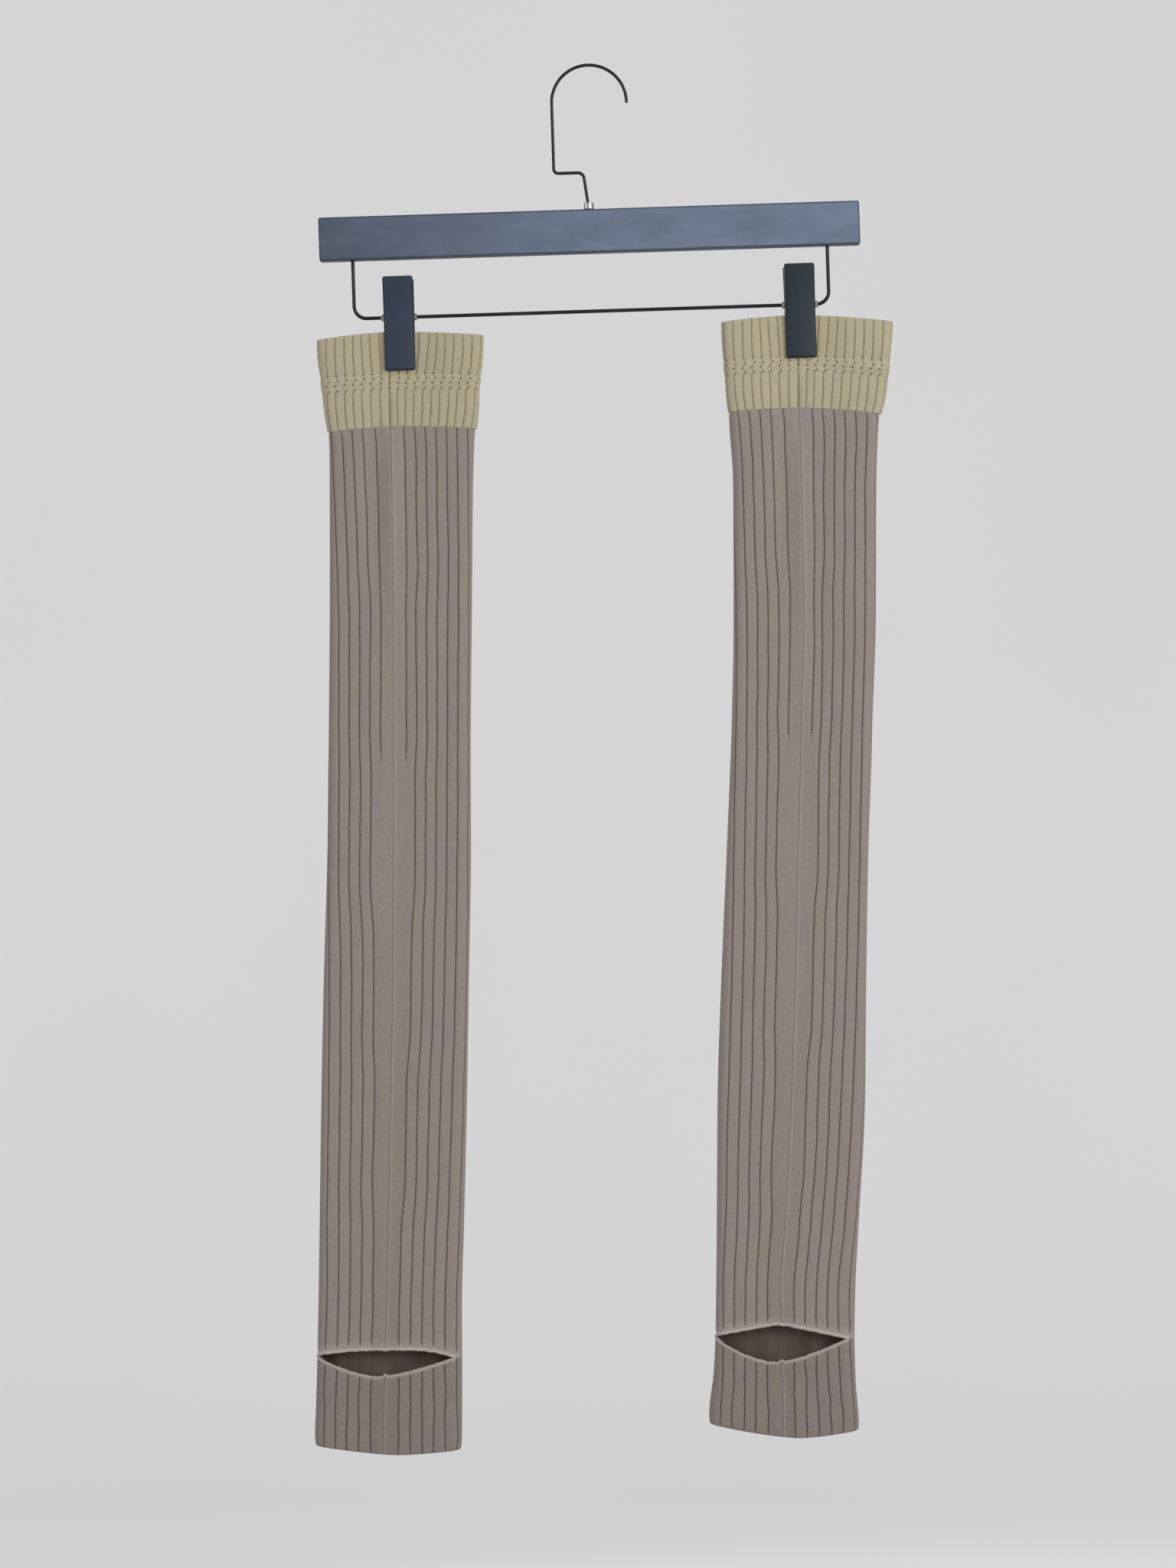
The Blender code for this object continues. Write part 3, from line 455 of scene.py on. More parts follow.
RIGHT_CREASES = [
    (-1, -1.3, 0.5, 34.0, 88.0, 0.3, -1.2, 1.6),
    (-1, 0.5, 3.0, 35.0, 300.0, 0.4, 2.5, 5.6),
    (-1, -12.0, -1.0, 36.0, 240.0, 0.35, -1.6, 5.2),
    (-1, 9.0, 2.5, 34.0, 44.0, 0.5, 0.8, 3.0),
    (-1, 13.0, 2.0, 60.0, 320.0, 0.4, -1.1, 5.5),
    (-1, 36.0, -3.0, 70.0, 360.0, 0.4, 1.3, 9.0),
    (-1, -24.0, -4.0, 22.0, 190.0, 0.45, 0.6, 8.5),
    (-1, 32.0, -8.0, 160.0, 470.0, 0.4, -0.7, 11.0),
    (-1, -26.0, -2.0, 300.0, 590.0, 0.5, 0.7, 12.0),
    (-1, 14.0, -14.0, 440.0, 650.0, 0.5, -0.6, 9.0),
    (-1, -30.0, -8.0, 670.0, 728.0, 0.5, 0.8, 9.0),
    (-1, 12.0, -2.0, 672.0, 730.0, 0.6, -0.7, 8.0),
    (1, 0.0, 3.0, 34.0, 205.0, 0.25, -0.9, 5.0),
    (1, 18.0, 9.0, 26.0, 165.0, 0.4, 0.7, 8.0),
    (1, -27.0, -4.0, 24.0, 260.0, 0.4, 0.6, 9.0),
    (1, 6.0, -12.0, 240.0, 580.0, 0.5, 0.8, 12.0),
    (1, -30.0, 6.0, 400.0, 700.0, 0.6, -0.8, 10.0),
    (1, 20.0, 3.0, 600.0, 728.0, 0.5, 0.8, 8.0),
]

LEFT_DECREASES = [
    (167.4, -12.0, 5.0),
    (273.5, -12.4, 3.8),
    (373.8, -11.2, 2.8),
    (470.5, -13.6, 2.6),
    (566.8, -14.2, 2.4),
]

RIGHT_DECREASES = [
    (168.0, -6.2, 9.0),
    (272.5, -6.8, 8.3),
    (374.7, -10.4, 5.7),
    (473.2, -12.9, 2.8),
    (567.2, -17.0, -0.3),
]

STOCKINGS = [
    Stocking(
        side="left",
        clip_place=-124.8,
        cuff_drop=9.3,
        cuff=[CuffLevel(*row) for row in LEFT_CUFF],
        marks=(26.9, 30.1, 33.2, 36.6),
        leg=[LegLevel(*row) for row in LEFT_LEG],
        heel_drop=664.4,
        lips={1: Lip(5.2, 0.66, 2.6, 2.2), -1: Lip(11.4, 0.46, 1.7, 1.3)},
        creases=[Crease(*row) for row in LEFT_CREASES],
        decreases=[Decrease(*row) for row in LEFT_DECREASES],
        seed=3.0,
    ),
    Stocking(
        side="right",
        clip_place=134.7,
        cuff_drop=6.9,
        cuff=[CuffLevel(*row) for row in RIGHT_CUFF],
        marks=(26.2, 29.3, 32.2, 35.4),
        leg=[LegLevel(*row) for row in RIGHT_LEG],
        heel_drop=663.3,
        lips={1: Lip(9.6, 0.5, 1.15, 1.25), -1: Lip(14.0, 0.47, 1.8, 1.35)},
        creases=[Crease(*row) for row in RIGHT_CREASES],
        decreases=[Decrease(*row) for row in RIGHT_DECREASES],
        seed=11.0,
    ),
]


def linear(code):
    """A linear colour from an sRGB hex code."""
    shares = [int(code[start:start + 2], 16) / 255 for start in (0, 2, 4)]
    return tuple(c / 12.92 if c <= 0.04045 else ((c + 0.055) / 1.055) ** 2.4 for c in shares)


def colour_property(name, code, description):
    """A colour that a user may change, from its sRGB hex code."""
    return FloatVectorProperty(
        name=name, description=description, default=linear(code), size=3, min=0.0, max=1.0, subtype="COLOR"
    )


def length_property(name, size, description):
    """A length that a user may change, from its millimetres."""
    return FloatProperty(name=name, description=description, default=size * MM, precision=5, unit="LENGTH")


class StockingsKnit(bpy.types.PropertyGroup):
    """Sizes and colours of the knitted cloth."""

    stitch_width: length_property("Stitch width", 1.2, "Width of one column of stitches")
    stitch_height: length_property("Stitch height", 1.0, "Height of one row of stitches")
    stitch_relief: length_property("Stitch relief", 0.12, "How far a stitch stands out of the cloth")
    slit_width: length_property("Groove width", 0.36, "Half the width of the slit between two ribs")
    wander: length_property("Groove wander", 0.28, "How far a groove strays from its straight course")
    leg_warm: colour_property("Leg, warm", "8d8276", "Taupe yarn where it looks warmest")
    leg_cool: colour_property("Leg, cool", "8b7f7c", "Taupe yarn where it looks coolest")
    # The pale colour also paints the highlight on the ridge beside the seam
    leg_pale: colour_property("Leg, pale", "b5aaa3", "Loose fibres and the rolled heel rim")
    # Painted shade: the deep colour darkens the grooves and the seam's crease, as well as the dark fibres
    leg_deep: colour_property("Leg, deep", "54443c", "Taupe yarn at the bottom of a groove")
    # Painted shade: this wrong-side colour is darker than the yarn, for the shade inside the leg
    leg_back: colour_property("Leg, wrong side", "564c44", "Taupe yarn on the inside of the leg")
    cuff_warm: colour_property("Cuff, warm", "aa9f83", "Pale yarn where it looks warmest")
    cuff_cool: colour_property("Cuff, cool", "a9a08a", "Pale yarn where it looks coolest")
    # Painted highlight: this pale colour also lightens the band's puckers and the top edge
    cuff_pale: colour_property("Cuff, pale", "cdc6ad", "Loose fibres and puckers of the pale yarn")
    # Painted shade: the deep colour darkens the grooves and the marks of the band, as well as the dark fibres
    cuff_deep: colour_property("Cuff, deep", "5f573e", "Pale yarn at the bottom of a groove")
    # Painted shade: this wrong-side colour is darker than the yarn, for the shade inside the cuff
    cuff_back: colour_property("Cuff, wrong side", "8b8369", "Pale yarn on the inside of the cuff")


class StockingsHanger(bpy.types.PropertyGroup):
    """Colours of the hanger."""

    paint: colour_property("Paint", "646f84", "Blue-grey paint on the wooden bar")
    paint_dark: colour_property("Paint, dark", "4e5a6b", "The paint where it lies thin over the grain")
    # This dark colour darkens the bar's upper edge and ends, and as painted shade its lower edge and
    # underside
    paint_edge_and_shade: colour_property("Paint, edges", "2b3138", "The paint on the bar's worn edges")
    enamel: colour_property("Enamel", "0b1412", "Green-black enamel on the wires")
    clip_left: colour_property("Left clip", "253040", "Plastic of the left clip")
    clip_right: colour_property("Right clip", "18232c", "Plastic of the right clip")
    # Painted shade and dark reflection: this near-black colour darkens a clip's rounded edges and sides
    clip_edge_shade: colour_property("Clip edges", "040506", "Plastic on a clip's rounded edges")
    plate: colour_property("Nickel", "a9a8a5", "Nickel plate on the collar, sleeves and springs")


class StockingsStage(bpy.types.PropertyGroup):
    """Camera, light and backdrop."""

    backdrop: colour_property("Backdrop", "fcfbfa", "Pale studio backdrop and floor")
    lens: FloatProperty(name="Lens", description="Focal length of the camera", default=100.0, unit="CAMERA")
    floor_gap: length_property("Floor gap", 600.0, "Height of the feet above the floor")
    sky_tint: colour_property("Sky tint", "fbfcff", "Colour of the even light from all round")
    sky: FloatProperty(name="Sky", description="Strength of the even light from all round", default=0.62)
    key: FloatProperty(name="Key light", description="Power of the soft light on the right", default=42.0)
    fill: FloatProperty(name="Fill light", description="Power of the soft light on the left", default=8.0)
    back: FloatProperty(name="Back light", description="Power of the soft light behind", default=26.0)


def smoothstep(value):
    """A smooth ramp from 0 to 1."""
    value = min(max(value, 0.0), 1.0)
    return value * value * (3 - 2 * value)


def fading(distance, span, start=0.0):
    """1 up to a start, and 0 from a span beyond it."""
    return 1 - smoothstep((distance - start) / span)


def ripple(wave, across, down, seed):
    """How high a wave of smooth noise stands at a place."""
    return wave.height * noise.noise(Vector((across / wave.across, down / wave.down, seed + wave.seed)))


def mesh_object(name, source):
    """A smooth object from a bmesh, which is freed."""
    mesh = bpy.data.meshes.new(name)
    source.to_mesh(mesh)
    source.free()
    mesh.shade_smooth()
    return bpy.data.objects.new(name, mesh)


def add_piece(piece, slot, look, *nodes):
    """Puts a finished piece in the scene, on the body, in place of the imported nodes."""
    bpy.context.scene.collection.objects.link(piece)
    piece.data.materials.clear()
    piece.data.materials.append(look)
    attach(piece, BODY)
    if nodes:
        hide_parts(*nodes)
    return piece


def new_material(name):
    """An empty Principled material, with its tree and shader."""
    made = bpy.data.materials.new(name)
    made.use_nodes = True
    return made, made.node_tree, made.node_tree.nodes["Principled BSDF"]


def set_sockets(tree, node, inputs):
    """Gives a node's sockets their values. One that is a node is linked by its first output in use."""
    for socket, value in inputs.items():
        if isinstance(value, bpy.types.Node):
            value = next(output for output in value.outputs if output.enabled)
        if isinstance(value, bpy.types.NodeSocket):
            tree.links.new(value, node.inputs[socket])
        else:
            node.inputs[socket].default_value = value


def add(tree, kind, inputs=None, **settings):
    """Adds a node with its settings and the values and links of its sockets."""
    node = tree.nodes.new(f"ShaderNode{kind}")
    for name, value in settings.items():
        setattr(node, name, value)
    set_sockets(tree, node, inputs or {})
    return node


def smooth_table(levels):
    """A function that reads a level at any drop, on curves that pass each row and never overshoot."""
    rows = np.array(levels)
    drops = rows[:, 0]
    slopes = np.diff(rows, axis=0) / np.diff(drops)[:, None]
    above, below = slopes[:-1], slopes[1:]
    tangents = np.zeros_like(rows)
    tangents[0], tangents[-1] = slopes[0], slopes[-1]
    np.divide(2 * above * below, above + below, out=tangents[1:-1], where=above * below > 0)

    def read(drop):
        held = min(max(drop, drops[0]), drops[-1])
        index = min(int(np.searchsorted(drops, held, side="right")) - 1, len(drops) - 2)
        step = drops[index + 1] - drops[index]
        t = (held - drops[index]) / step
        values = (
            rows[index] * (1 + 2 * t) * (1 - t) ** 2
            + rows[index + 1] * (3 - 2 * t) * t ** 2
            + tangents[index] * step * t * (1 - t) ** 2
            - tangents[index + 1] * step * t ** 2 * (1 - t)
        )
        return type(levels[0])(drop, *values[1:].tolist())

    return read


def flat_half(fabric, level):
    """Half the width of a level's flat faces, between its round folds."""
    return (level.right - level.left) / 2 - fabric.rib - level.depth / 2


def girth(fabric, level):
    """The way round a level, at the bottoms of its grooves."""
    return 4 * flat_half(fabric, level) + math.pi * level.depth


def around(fabric, level, along):
    """The X and Y of a groove bottom and its outward direction, at a distance from the seam.

    The near face and the right fold come first, and the rest is the same, turned about the middle.
    """
    radius = level.depth / 2
    flat = flat_half(fabric, level)
    half = girth(fabric, level) / 2
    middle = (level.left + level.right) / 2
    halves, way = divmod((along + level.seam - middle + flat) % (2 * half), half)
    if way < 2 * flat:
        spot, outwards = Vector((way - flat, -radius)), Vector((0.0, -1.0))
    else:
        angle = (way - 2 * flat) / radius - math.pi / 2
        outwards = Vector((math.cos(angle), math.sin(angle)))
        spot = Vector((flat, 0.0)) + radius * outwards
    side = -1 if halves else 1
    return Vector((middle, 0.0)) + side * spot, side * outwards


def pressed(level, x):
    """What is left of a level's depth at x, where the clip presses the two walls together."""
    reach = max(abs(x) - GRIP_HALF_WIDTH, 0.0)
    share = math.cos(min(reach / GRIP_FADE, 1.0) * math.pi / 2) ** 2
    return 1 + share * (level.waist / level.depth - 1)


def fall(level, x):
    """How much lower a level lies at x than on the clip's line."""
    edge, drop = (level.left, level.fall_left) if x < 0 else (level.right, level.fall_right)
    return drop * min(x / edge, 1.0) ** FALL_POWER


def crease_push(creases, x, drop, face):
    """How far the creases of a face push the cloth out at a place."""
    push = 0.0
    for crease in creases:
        share = (drop - crease.top) / (crease.bottom - crease.top)
        if crease.face * face <= 0 or not 0 < share < 1:
            continue
        rise = share / crease.peak if share < crease.peak else (1 - share) / (1 - crease.peak)
        reach = (x - crease.x - crease.lean * share) / crease.width
        push += crease.push * smoothstep(rise) * math.exp(-reach * reach)
    return push


def swell(stocking, x, drop, face):
    """The soft unevenness of a face that hangs freely, less of it near the clip."""
    waves = sum(ripple(wave, x, drop, stocking.seed + face) for wave in (BROAD_SWELL, FINE_SWELL))
    return waves * smoothstep((drop - SWELL_START) / SWELL_SPAN)


def band_jog(stocking, drop):
    """How far the cuff's grooves stand off their course in the shirred band."""
    marks = stocking.marks
    return float(np.interp(drop, (marks[0] - MARK_FADE[0], *marks, marks[-1] + MARK_FADE[1]), MARK_JOGS))


def band_knot(stocking, drop):
    """How much a drop is on a row of marks, where the drawn thread ties the ribs."""
    return sum(math.exp(-((drop - mark) / MARK_HEIGHT) ** 2) for mark in stocking.marks)


def band_share(stocking, drop):
    """1 in the shirred band, 0 away from it."""
    below_top = drop - stocking.marks[0] + BAND_PAST
    above_foot = stocking.marks[-1] + BAND_PAST - drop
    return smoothstep(below_top / BAND_SOFT) * smoothstep(above_foot / BAND_SOFT)


def cuff_course(stocking, level, wander):
    """A cuff's grooves at one level, evenly round it from the seam. In the band they zigzag and fade."""
    whole = girth(CUFF, level)
    pitch = whole / CUFF_RIBS
    strength = 1 - BAND_FADE * band_share(stocking, level.drop) + MARK_DEPTH * band_knot(stocking, level.drop)
    seam = 1 + SEAM_DEPTH * smoothstep((level.drop - stocking.marks[-1]) / SEAM_DEPTH_SPAN)
    places, strengths = [0.0], [seam]
    for index in range(1, CUFF_RIBS):
        own = stocking.seed + 7 * index
        sway = wander * ripple(CUFF_SWAY, index, level.drop, own)
        size = (1 + ripple(JOG_SIZE, own, 0.3, 0.0)) * min(1.0, index / 2, (CUFF_RIBS - index) / 2)
        late = ripple(JOG_DELAY, index, 0.5, stocking.seed)
        places.append(pitch * index + sway + size * band_jog(stocking, level.drop + late))
        strengths.append(min(1.0, strength * (1 + ripple(CUFF_FADE, own, level.drop, 0.0))))
    return places + [whole], strengths + [seam], whole


def leg_course(stocking, level, wander):
    """A leg's grooves at one level: the seam, and the short and long ones round it."""
    whole = girth(LEG, level)
    pitch = (whole - level.panel_left - level.panel_right) / LEG_RIBS
    places = [0.0, SHORT_GROOVE * level.panel_right]
    places += [level.panel_right + pitch * index for index in range(LEG_RIBS + 1)]
    places += [whole - SHORT_GROOVE * level.panel_left, whole]
    strengths = [SEAM_GROOVE, level.short] + [1.0] * (LEG_RIBS + 1) + [level.short, SEAM_GROOVE]
    foot = smoothstep((level.drop - stocking.heel_drop - FOOT_START) / FOOT_SPAN)
    for index in range(1, len(places) - 1):
        own = stocking.seed + 3 * index
        sway = ripple(SLOW_SWAY, index, level.drop, own) + ripple(QUICK_SWAY, index, level.drop, own)
        places[index] += wander * sway * (1 + FOOT_SWAY * foot)
        places[index] += decrease_kink(stocking, index, len(places) - 1, level.drop)
    return places, strengths, whole


def decrease_kink(stocking, index, last, drop):
    """The step of the grooves beside the seam where stitches are dropped: out above it, back below."""
    near = min(index, last - index)
    side = 1 if index < last / 2 else -1
    kink = 0.0
    for row in stocking.decreases:
        reach = (drop - row.drop) / KINK_REACH
        if abs(reach) < 1:
            kink -= math.sin(reach * math.pi / 2)
        elif abs(reach) < 3:
            kink -= math.copysign((3 - abs(reach)) / 2, reach)
    share = max(0.0, 1 - (near - 2) / KINK_RIBS) if near > 1 else 0.5
    return side * KINK * kink * share


class Knit:
    """The shape of one knitted tube, by the drop of its rows and the columns round it from the seam."""

    def __init__(self, stocking, fabric, levels, origin, settings):
        self.stocking = stocking
        self.fabric = fabric
        self.read = smooth_table(levels)
        self.origin = origin
        self.wander = settings.wander / MM
        self.slit = settings.slit_width / MM
        self.courses = {}

    def course(self, drop):
        """The level and the grooves at a drop."""
        if drop not in self.courses:
            level = self.read(drop)
            self.courses[drop] = Course(level, *self.fabric.grooves(self.stocking, level, self.wander))
        return self.courses[drop]

    def place(self, course, column):
        """A column's distance from the seam, and its distances and strengths of the grooves beside it."""
        shares = self.fabric.shares
        rib, step = divmod(column, len(shares))
        start, end = course.places[rib], course.places[rib + 1]
        to_start = shares[step] * (end - start)
        to_end = (1 - shares[step]) * (end - start)
        return start + to_start, (to_start, course.strengths[rib]), (to_end, course.strengths[rib + 1])

    def relief(self, beside, width=1.0):
        """How deep in a groove a point is, and how high the rounded rib stands there, both 0 to 1."""
        slit = width * self.slit
        groove = max(strength * math.exp(-(gap / slit) ** 2) for gap, strength in beside)
        groove = min(groove, 1.0)
        fall_off = max(strength * math.exp(-gap / CROWN_SPAN) for gap, strength in beside)
        return groove, (1 - groove) * (1 - self.fabric.crown * fall_off)

    def spot(self, course, along, offset, rise, lean=None):
        """A point of the cloth, offset outwards from the groove bottoms and raised from its level."""
        level = course.level
        groove, outwards = around(self.fabric, level, along)
        x = groove.x
        groove.y *= pressed(level, x)
        push = crease_push(self.stocking.creases, x, level.drop, outwards.y)
        push += swell(self.stocking, x, level.drop, math.copysign(1.0, outwards.y))
        at = groove + outwards * (offset + push * outwards.y ** 2)
        if lean:
            at.x += lean(x, level.drop)
        return self.origin + Vector((at.x, at.y, rise - level.drop - fall(level, x)))


def round_edge(offset, distance, root, radius):
    """An outer wall's offset where it rounds over to an open edge."""
    if distance >= radius:
        return offset
    return root + (offset - root) * math.sqrt(max(0.0, 1 - (1 - distance / radius) ** 2))


def lip_height(lip, share):
    """The height of a heel lip at a share of the way from its left to its right corner."""
    if share < lip.apex:
        return lip.rise * (1 - (1 - share / lip.apex) ** lip.left)
    return lip.rise * (1 - ((share - lip.apex) / (1 - lip.apex)) ** lip.right)


def heel_place(knit, course, along, side):
    """The rise of a point beside the heel opening, its distance from the edge, and that from the seam.

    side is 1 above the opening and -1 below it.
    """
    stocking = knit.stocking
    beyond_row = abs(course.level.drop - stocking.heel_drop)
    right = knit.place(course, HEEL_RIGHT)[0]
    left = knit.place(course, HEEL_LEFT)[0] - course.girth
    signed = along if along < course.girth / 2 else along - course.girth
    lip, beyond = 0.0, max(left - signed, signed - right, 0.0)
    if beyond == 0.0:
        lip = lip_height(stocking.lips[side], (signed - left) / (right - left))
        uneven = ripple(LIP_WAVE, signed, side, stocking.seed) + ripple(LIP_RIPPLE, signed, side, 0.0)
        lip += uneven * min(lip, 1.0) - HEEL_EDGES[side].dip * math.exp(-(signed / DIP_WIDTH) ** 2)
    return side * lip * fading(beyond_row, HEEL_REACH), math.hypot(beyond, beyond_row), signed


def rim_offset(distance, ribbed, fade, lump):
    """The outer offset beside the heel opening: a rolled bead, a neck, then the ribs."""
    blended = RIM_NECK + (ribbed - RIM_NECK) * fade
    if distance >= 2 * RIM_RADIUS:
        return blended
    bead = RIM_ROOT + RIM_LIFT * lump * math.sqrt(max(0.0, 1 - (1 - distance / RIM_RADIUS) ** 2))
    return bead if distance < RIM_RADIUS else max(bead, blended)


def leg_point(knit, column, drop, side, inner):
    """A point of the leg and what its yarn looks like there."""
    course = knit.course(drop)
    edge = HEEL_EDGES[side]
    along, *beside = knit.place(course, column)
    rise, distance, signed = heel_place(knit, course, along, side)
    groove, height = knit.relief(beside)
    rise += edge.pull * groove * fading(distance, PULL_SPAN)
    fade = smoothstep((distance - edge.fade_start) / edge.fade_span)
    from_hem = knit.stocking.leg[-1].drop - drop
    from_top = drop - knit.stocking.leg[0].drop
    rise -= HEM_WAVE * height * fading(from_hem, HEM_WAVE_SPAN)
    if inner:
        offset = HEEL_TURN_OUT * fading(distance, INNER_TURN) + HEM_TURN_OUT * fading(from_hem, INNER_TURN)
        offset += LEG_INNER_RIB * height * smoothstep(distance / LEG_INNER_RIB_SPAN) - LEG.wall
    else:
        lump = 1 + ripple(RIM_LUMP, signed, side, knit.stocking.seed)
        offset = rim_offset(distance, LEG.rib * course.level.rib * height, fade, lump)
        offset = round_edge(offset, from_hem, *HEM_ROUND)
        offset *= TUCK_RELIEF + (1 - TUCK_RELIEF) * smoothstep(from_top / TUCK_RELIEF_SPAN)
        offset = TUCK_OFFSET + (offset - TUCK_OFFSET) * smoothstep((from_top + TUCK) / TUCK_SPAN)
    rim = edge.rim * fading(distance, RIM_PALE_FADE, RIM_PALE)
    band = edge.band * fading(distance, BESIDE_PALE_FADE, BESIDE_PALE)
    looks = {
        # Painted shade in the grooves, fainter on the inner wall
        "groove": groove * fade * (LEG_INNER_SHADE if inner else 1.0),
        "rim": max(rim, band),
        # Painted shade on the inner wall
        "inside": float(inner),
        # Painted shade in the seam's crease
        "seam": fade * max(0.0, 1 - abs(signed) / SEAM_SPAN),
        # Painted highlight on the ridge beside the seam
        "ridge": fade * max(0.0, 1 - abs(signed - SEAM_RIDGE) / SEAM_SPAN),
        # Painted shade that darkens the foot below the heel opening
        "foot": float(side < 0),
        "tint": yarn_tint(knit.stocking, column // len(LEG_SHARES), along, drop),
    }
    return knit.spot(course, along, offset, rise), looks


def yarn_tint(stocking, rib, along, drop):
    """How warm, 1, or cool, 0, the yarn looks. It drifts along each rib, and in soft clouds across them."""
    own = ripple(RIB_TINT, rib * TINT_STEP + TINT_START, stocking.seed, 0.0)
    drift = ripple(TINT_DRIFT, rib, drop, stocking.seed)
    return MIDDLE_TINT + own + drift + ripple(TINT_CLOUD, along, drop, stocking.seed)


def cuff_point(knit, column, drop, side, inner):
    """A point of the cuff and what its yarn looks like there."""
    course = knit.course(drop)
    stocking = knit.stocking
    along, *beside = knit.place(course, column)
    knot = band_knot(stocking, drop)
    groove, height = knit.relief(beside, 1 + MARK_DEPTH * knot)
    facing = around(CUFF, course.level, along)[1].y
    pucker = facing ** 2 * ripple(PUCKER, along, drop, stocking.seed) * band_share(stocking, drop) * height
    from_top = drop - stocking.cuff[0].drop
    from_foot = stocking.cuff[-1].drop - drop
    rise = TOP_SCALLOP * height * fading(from_top, SCALLOP_SPAN) + TOP_LIFT
    rise += (FOOT_SCALLOP * (1 - height) + FOOT_LIFT) * fading(from_foot, SCALLOP_SPAN)
    rise += ripple(TOP_WAVE, along, 0.0, stocking.seed) * fading(from_top, TOP_WAVE_SPAN)
    if inner:
        offset = CUFF_INNER_RIB * height - CUFF.wall
        offset += CUFF_TURN_OUT * fading(min(from_top, from_foot), INNER_TURN)
    else:
        offset = CUFF.rib * course.level.rib * height - MARK_SINK * knot * groove + PUCKER_RISE * pucker
        offset = round_edge(offset, from_top, *CUFF_TOP_ROUND)
        offset = round_edge(offset, from_foot, *CUFF_FOOT_ROUND)
    # Painted shade in the grooves, darker at the band's marks and fainter on the inner wall
    shade = min(1.0, groove * (CUFF_GROOVE_SHADE + MARK_SHADE * knot))
    looks = {
        "groove": shade * (CUFF_INNER_SHADE if inner else 1.0),
        # Painted highlight on the band's puckers and along the top edge
        "rim": max(0.0, PUCKER_PALE * pucker) + TOP_PALE * fading(from_top, TOP_PALE_SPAN),
        # Painted shade on the inner wall
        "inside": float(inner),
        "tint": yarn_tint(stocking, column // len(CUFF_SHARES), along, drop * CUFF_TINT_STRETCH),
    }
    return knit.spot(course, along, offset, rise, clip_lean), looks


def clip_lean(x, drop):
    """How far the cuff's ribs beside the clip spread at its top, where the clip gathers them below."""
    reach = (abs(x) - LEAN_PLACE) / LEAN_WIDTH
    return math.copysign(LEAN, x) * math.exp(-reach * reach) * fading(drop, LEAN_DROP)


CUFF = Fabric(rib=0.8, wall=1.3, crown=0.14, grooves=cuff_course, shares=CUFF_SHARES)
LEG = Fabric(rib=1.1, wall=1.4, crown=0.14, grooves=leg_course, shares=LEG_SHARES)


def even_rows(start, end, step):
    """Drops from start to end, both left out, about a step apart."""
    count = max(1, round((end - start) / step))
    return [start + (end - start) * index / count for index in range(1, count)]


def leg_rows(stocking, steps, rim_steps, row):
    """The drops of a leg wall's rows. One of them is the heel opening's edge."""
    top, heel, hem = stocking.leg[0].drop - TUCK, stocking.heel_drop, stocking.leg[-1].drop
    rows = [top + step for step in steps]
    rows += even_rows(top + steps[-1], heel - rim_steps[-1], row)
    rows += [heel - step for step in reversed(rim_steps)]
    rows += [heel + step for step in rim_steps[1:]]
    rows += even_rows(heel + rim_steps[-1], hem - steps[-1], row)
    return rows + [hem - step for step in reversed(steps)]


def cuff_rows(stocking, steps, row, band_row):
    """The drops of a cuff wall's rows, closer together in the shirred band."""
    top, foot = stocking.cuff[0].drop, stocking.cuff[-1].drop
    band_top, band_foot = stocking.marks[0] - BAND_ROWS_PAST, stocking.marks[-1] + BAND_ROWS_PAST
    rows = [top + step for step in steps]
    rows += even_rows(top + steps[-1], band_top, row) + [band_top]
    rows += even_rows(band_top, band_foot, band_row) + [band_foot]
    rows += even_rows(band_foot, foot - steps[-1], row)
    return rows + [foot - step for step in reversed(steps)]


def add_wall(shape, columns, rows, kind, edge_row):
    """Adds a flat grid for one wall of a tube. Each point keeps its column, row and wall.

    Where edge_row is given, the heel opening is slit along that row. The points above and below
    the slit then have side 1 and -1.
    """
    layers = shape.verts.layers.int
    grid = bmesh.ops.create_grid(shape, x_segments=columns, y_segments=rows - 1, size=0.5)
    for vert in grid["verts"]:
        vert[layers["column"]] = round((vert.co.x + 0.5) * columns)
        vert[layers["row"]] = round((0.5 - vert.co.y) * (rows - 1))
        vert[layers["wall"]] = kind
        vert[layers["side"]] = -1 if edge_row is not None and vert[layers["row"]] > edge_row else 1
    if edge_row is None:
        return
    slit = []
    for vert in grid["verts"]:
        if vert[layers["row"]] != edge_row:
            continue
        for edge in vert.link_edges:
            other = edge.other_vert(vert)
            low, high = sorted((vert[layers["column"]], other[layers["column"]]))
            if other[layers["row"]] == edge_row and (high <= HEEL_RIGHT or low >= HEEL_LEFT):
                slit.append(edge)
    bmesh.ops.split_edges(shape, edges=list(set(slit)))
    for vert in shape.verts:
        if vert[layers["wall"]] == kind and vert[layers["row"]] == edge_row:
            rows_beside = [other[layers["row"]] for face in vert.link_faces for other in face.verts]
            vert[layers["side"]] = 1 if min(rows_beside) < edge_row else -1


def place_points(shape, knit, point, walls, columns):
    """Moves each point of the flat grids to its place on the cloth, and notes its looks."""
    ints = shape.verts.layers.int
    floats = shape.verts.layers.float
    for vert in shape.verts:
        kind = vert[ints["wall"]]
        drop = walls[kind][vert[ints["row"]]]
        spot, looks = point(knit, vert[ints["column"]] % columns, drop, vert[ints["side"]], kind == 1)
        vert.co = spot * MM
        for name, value in looks.items():
            vert[floats[name]] = value


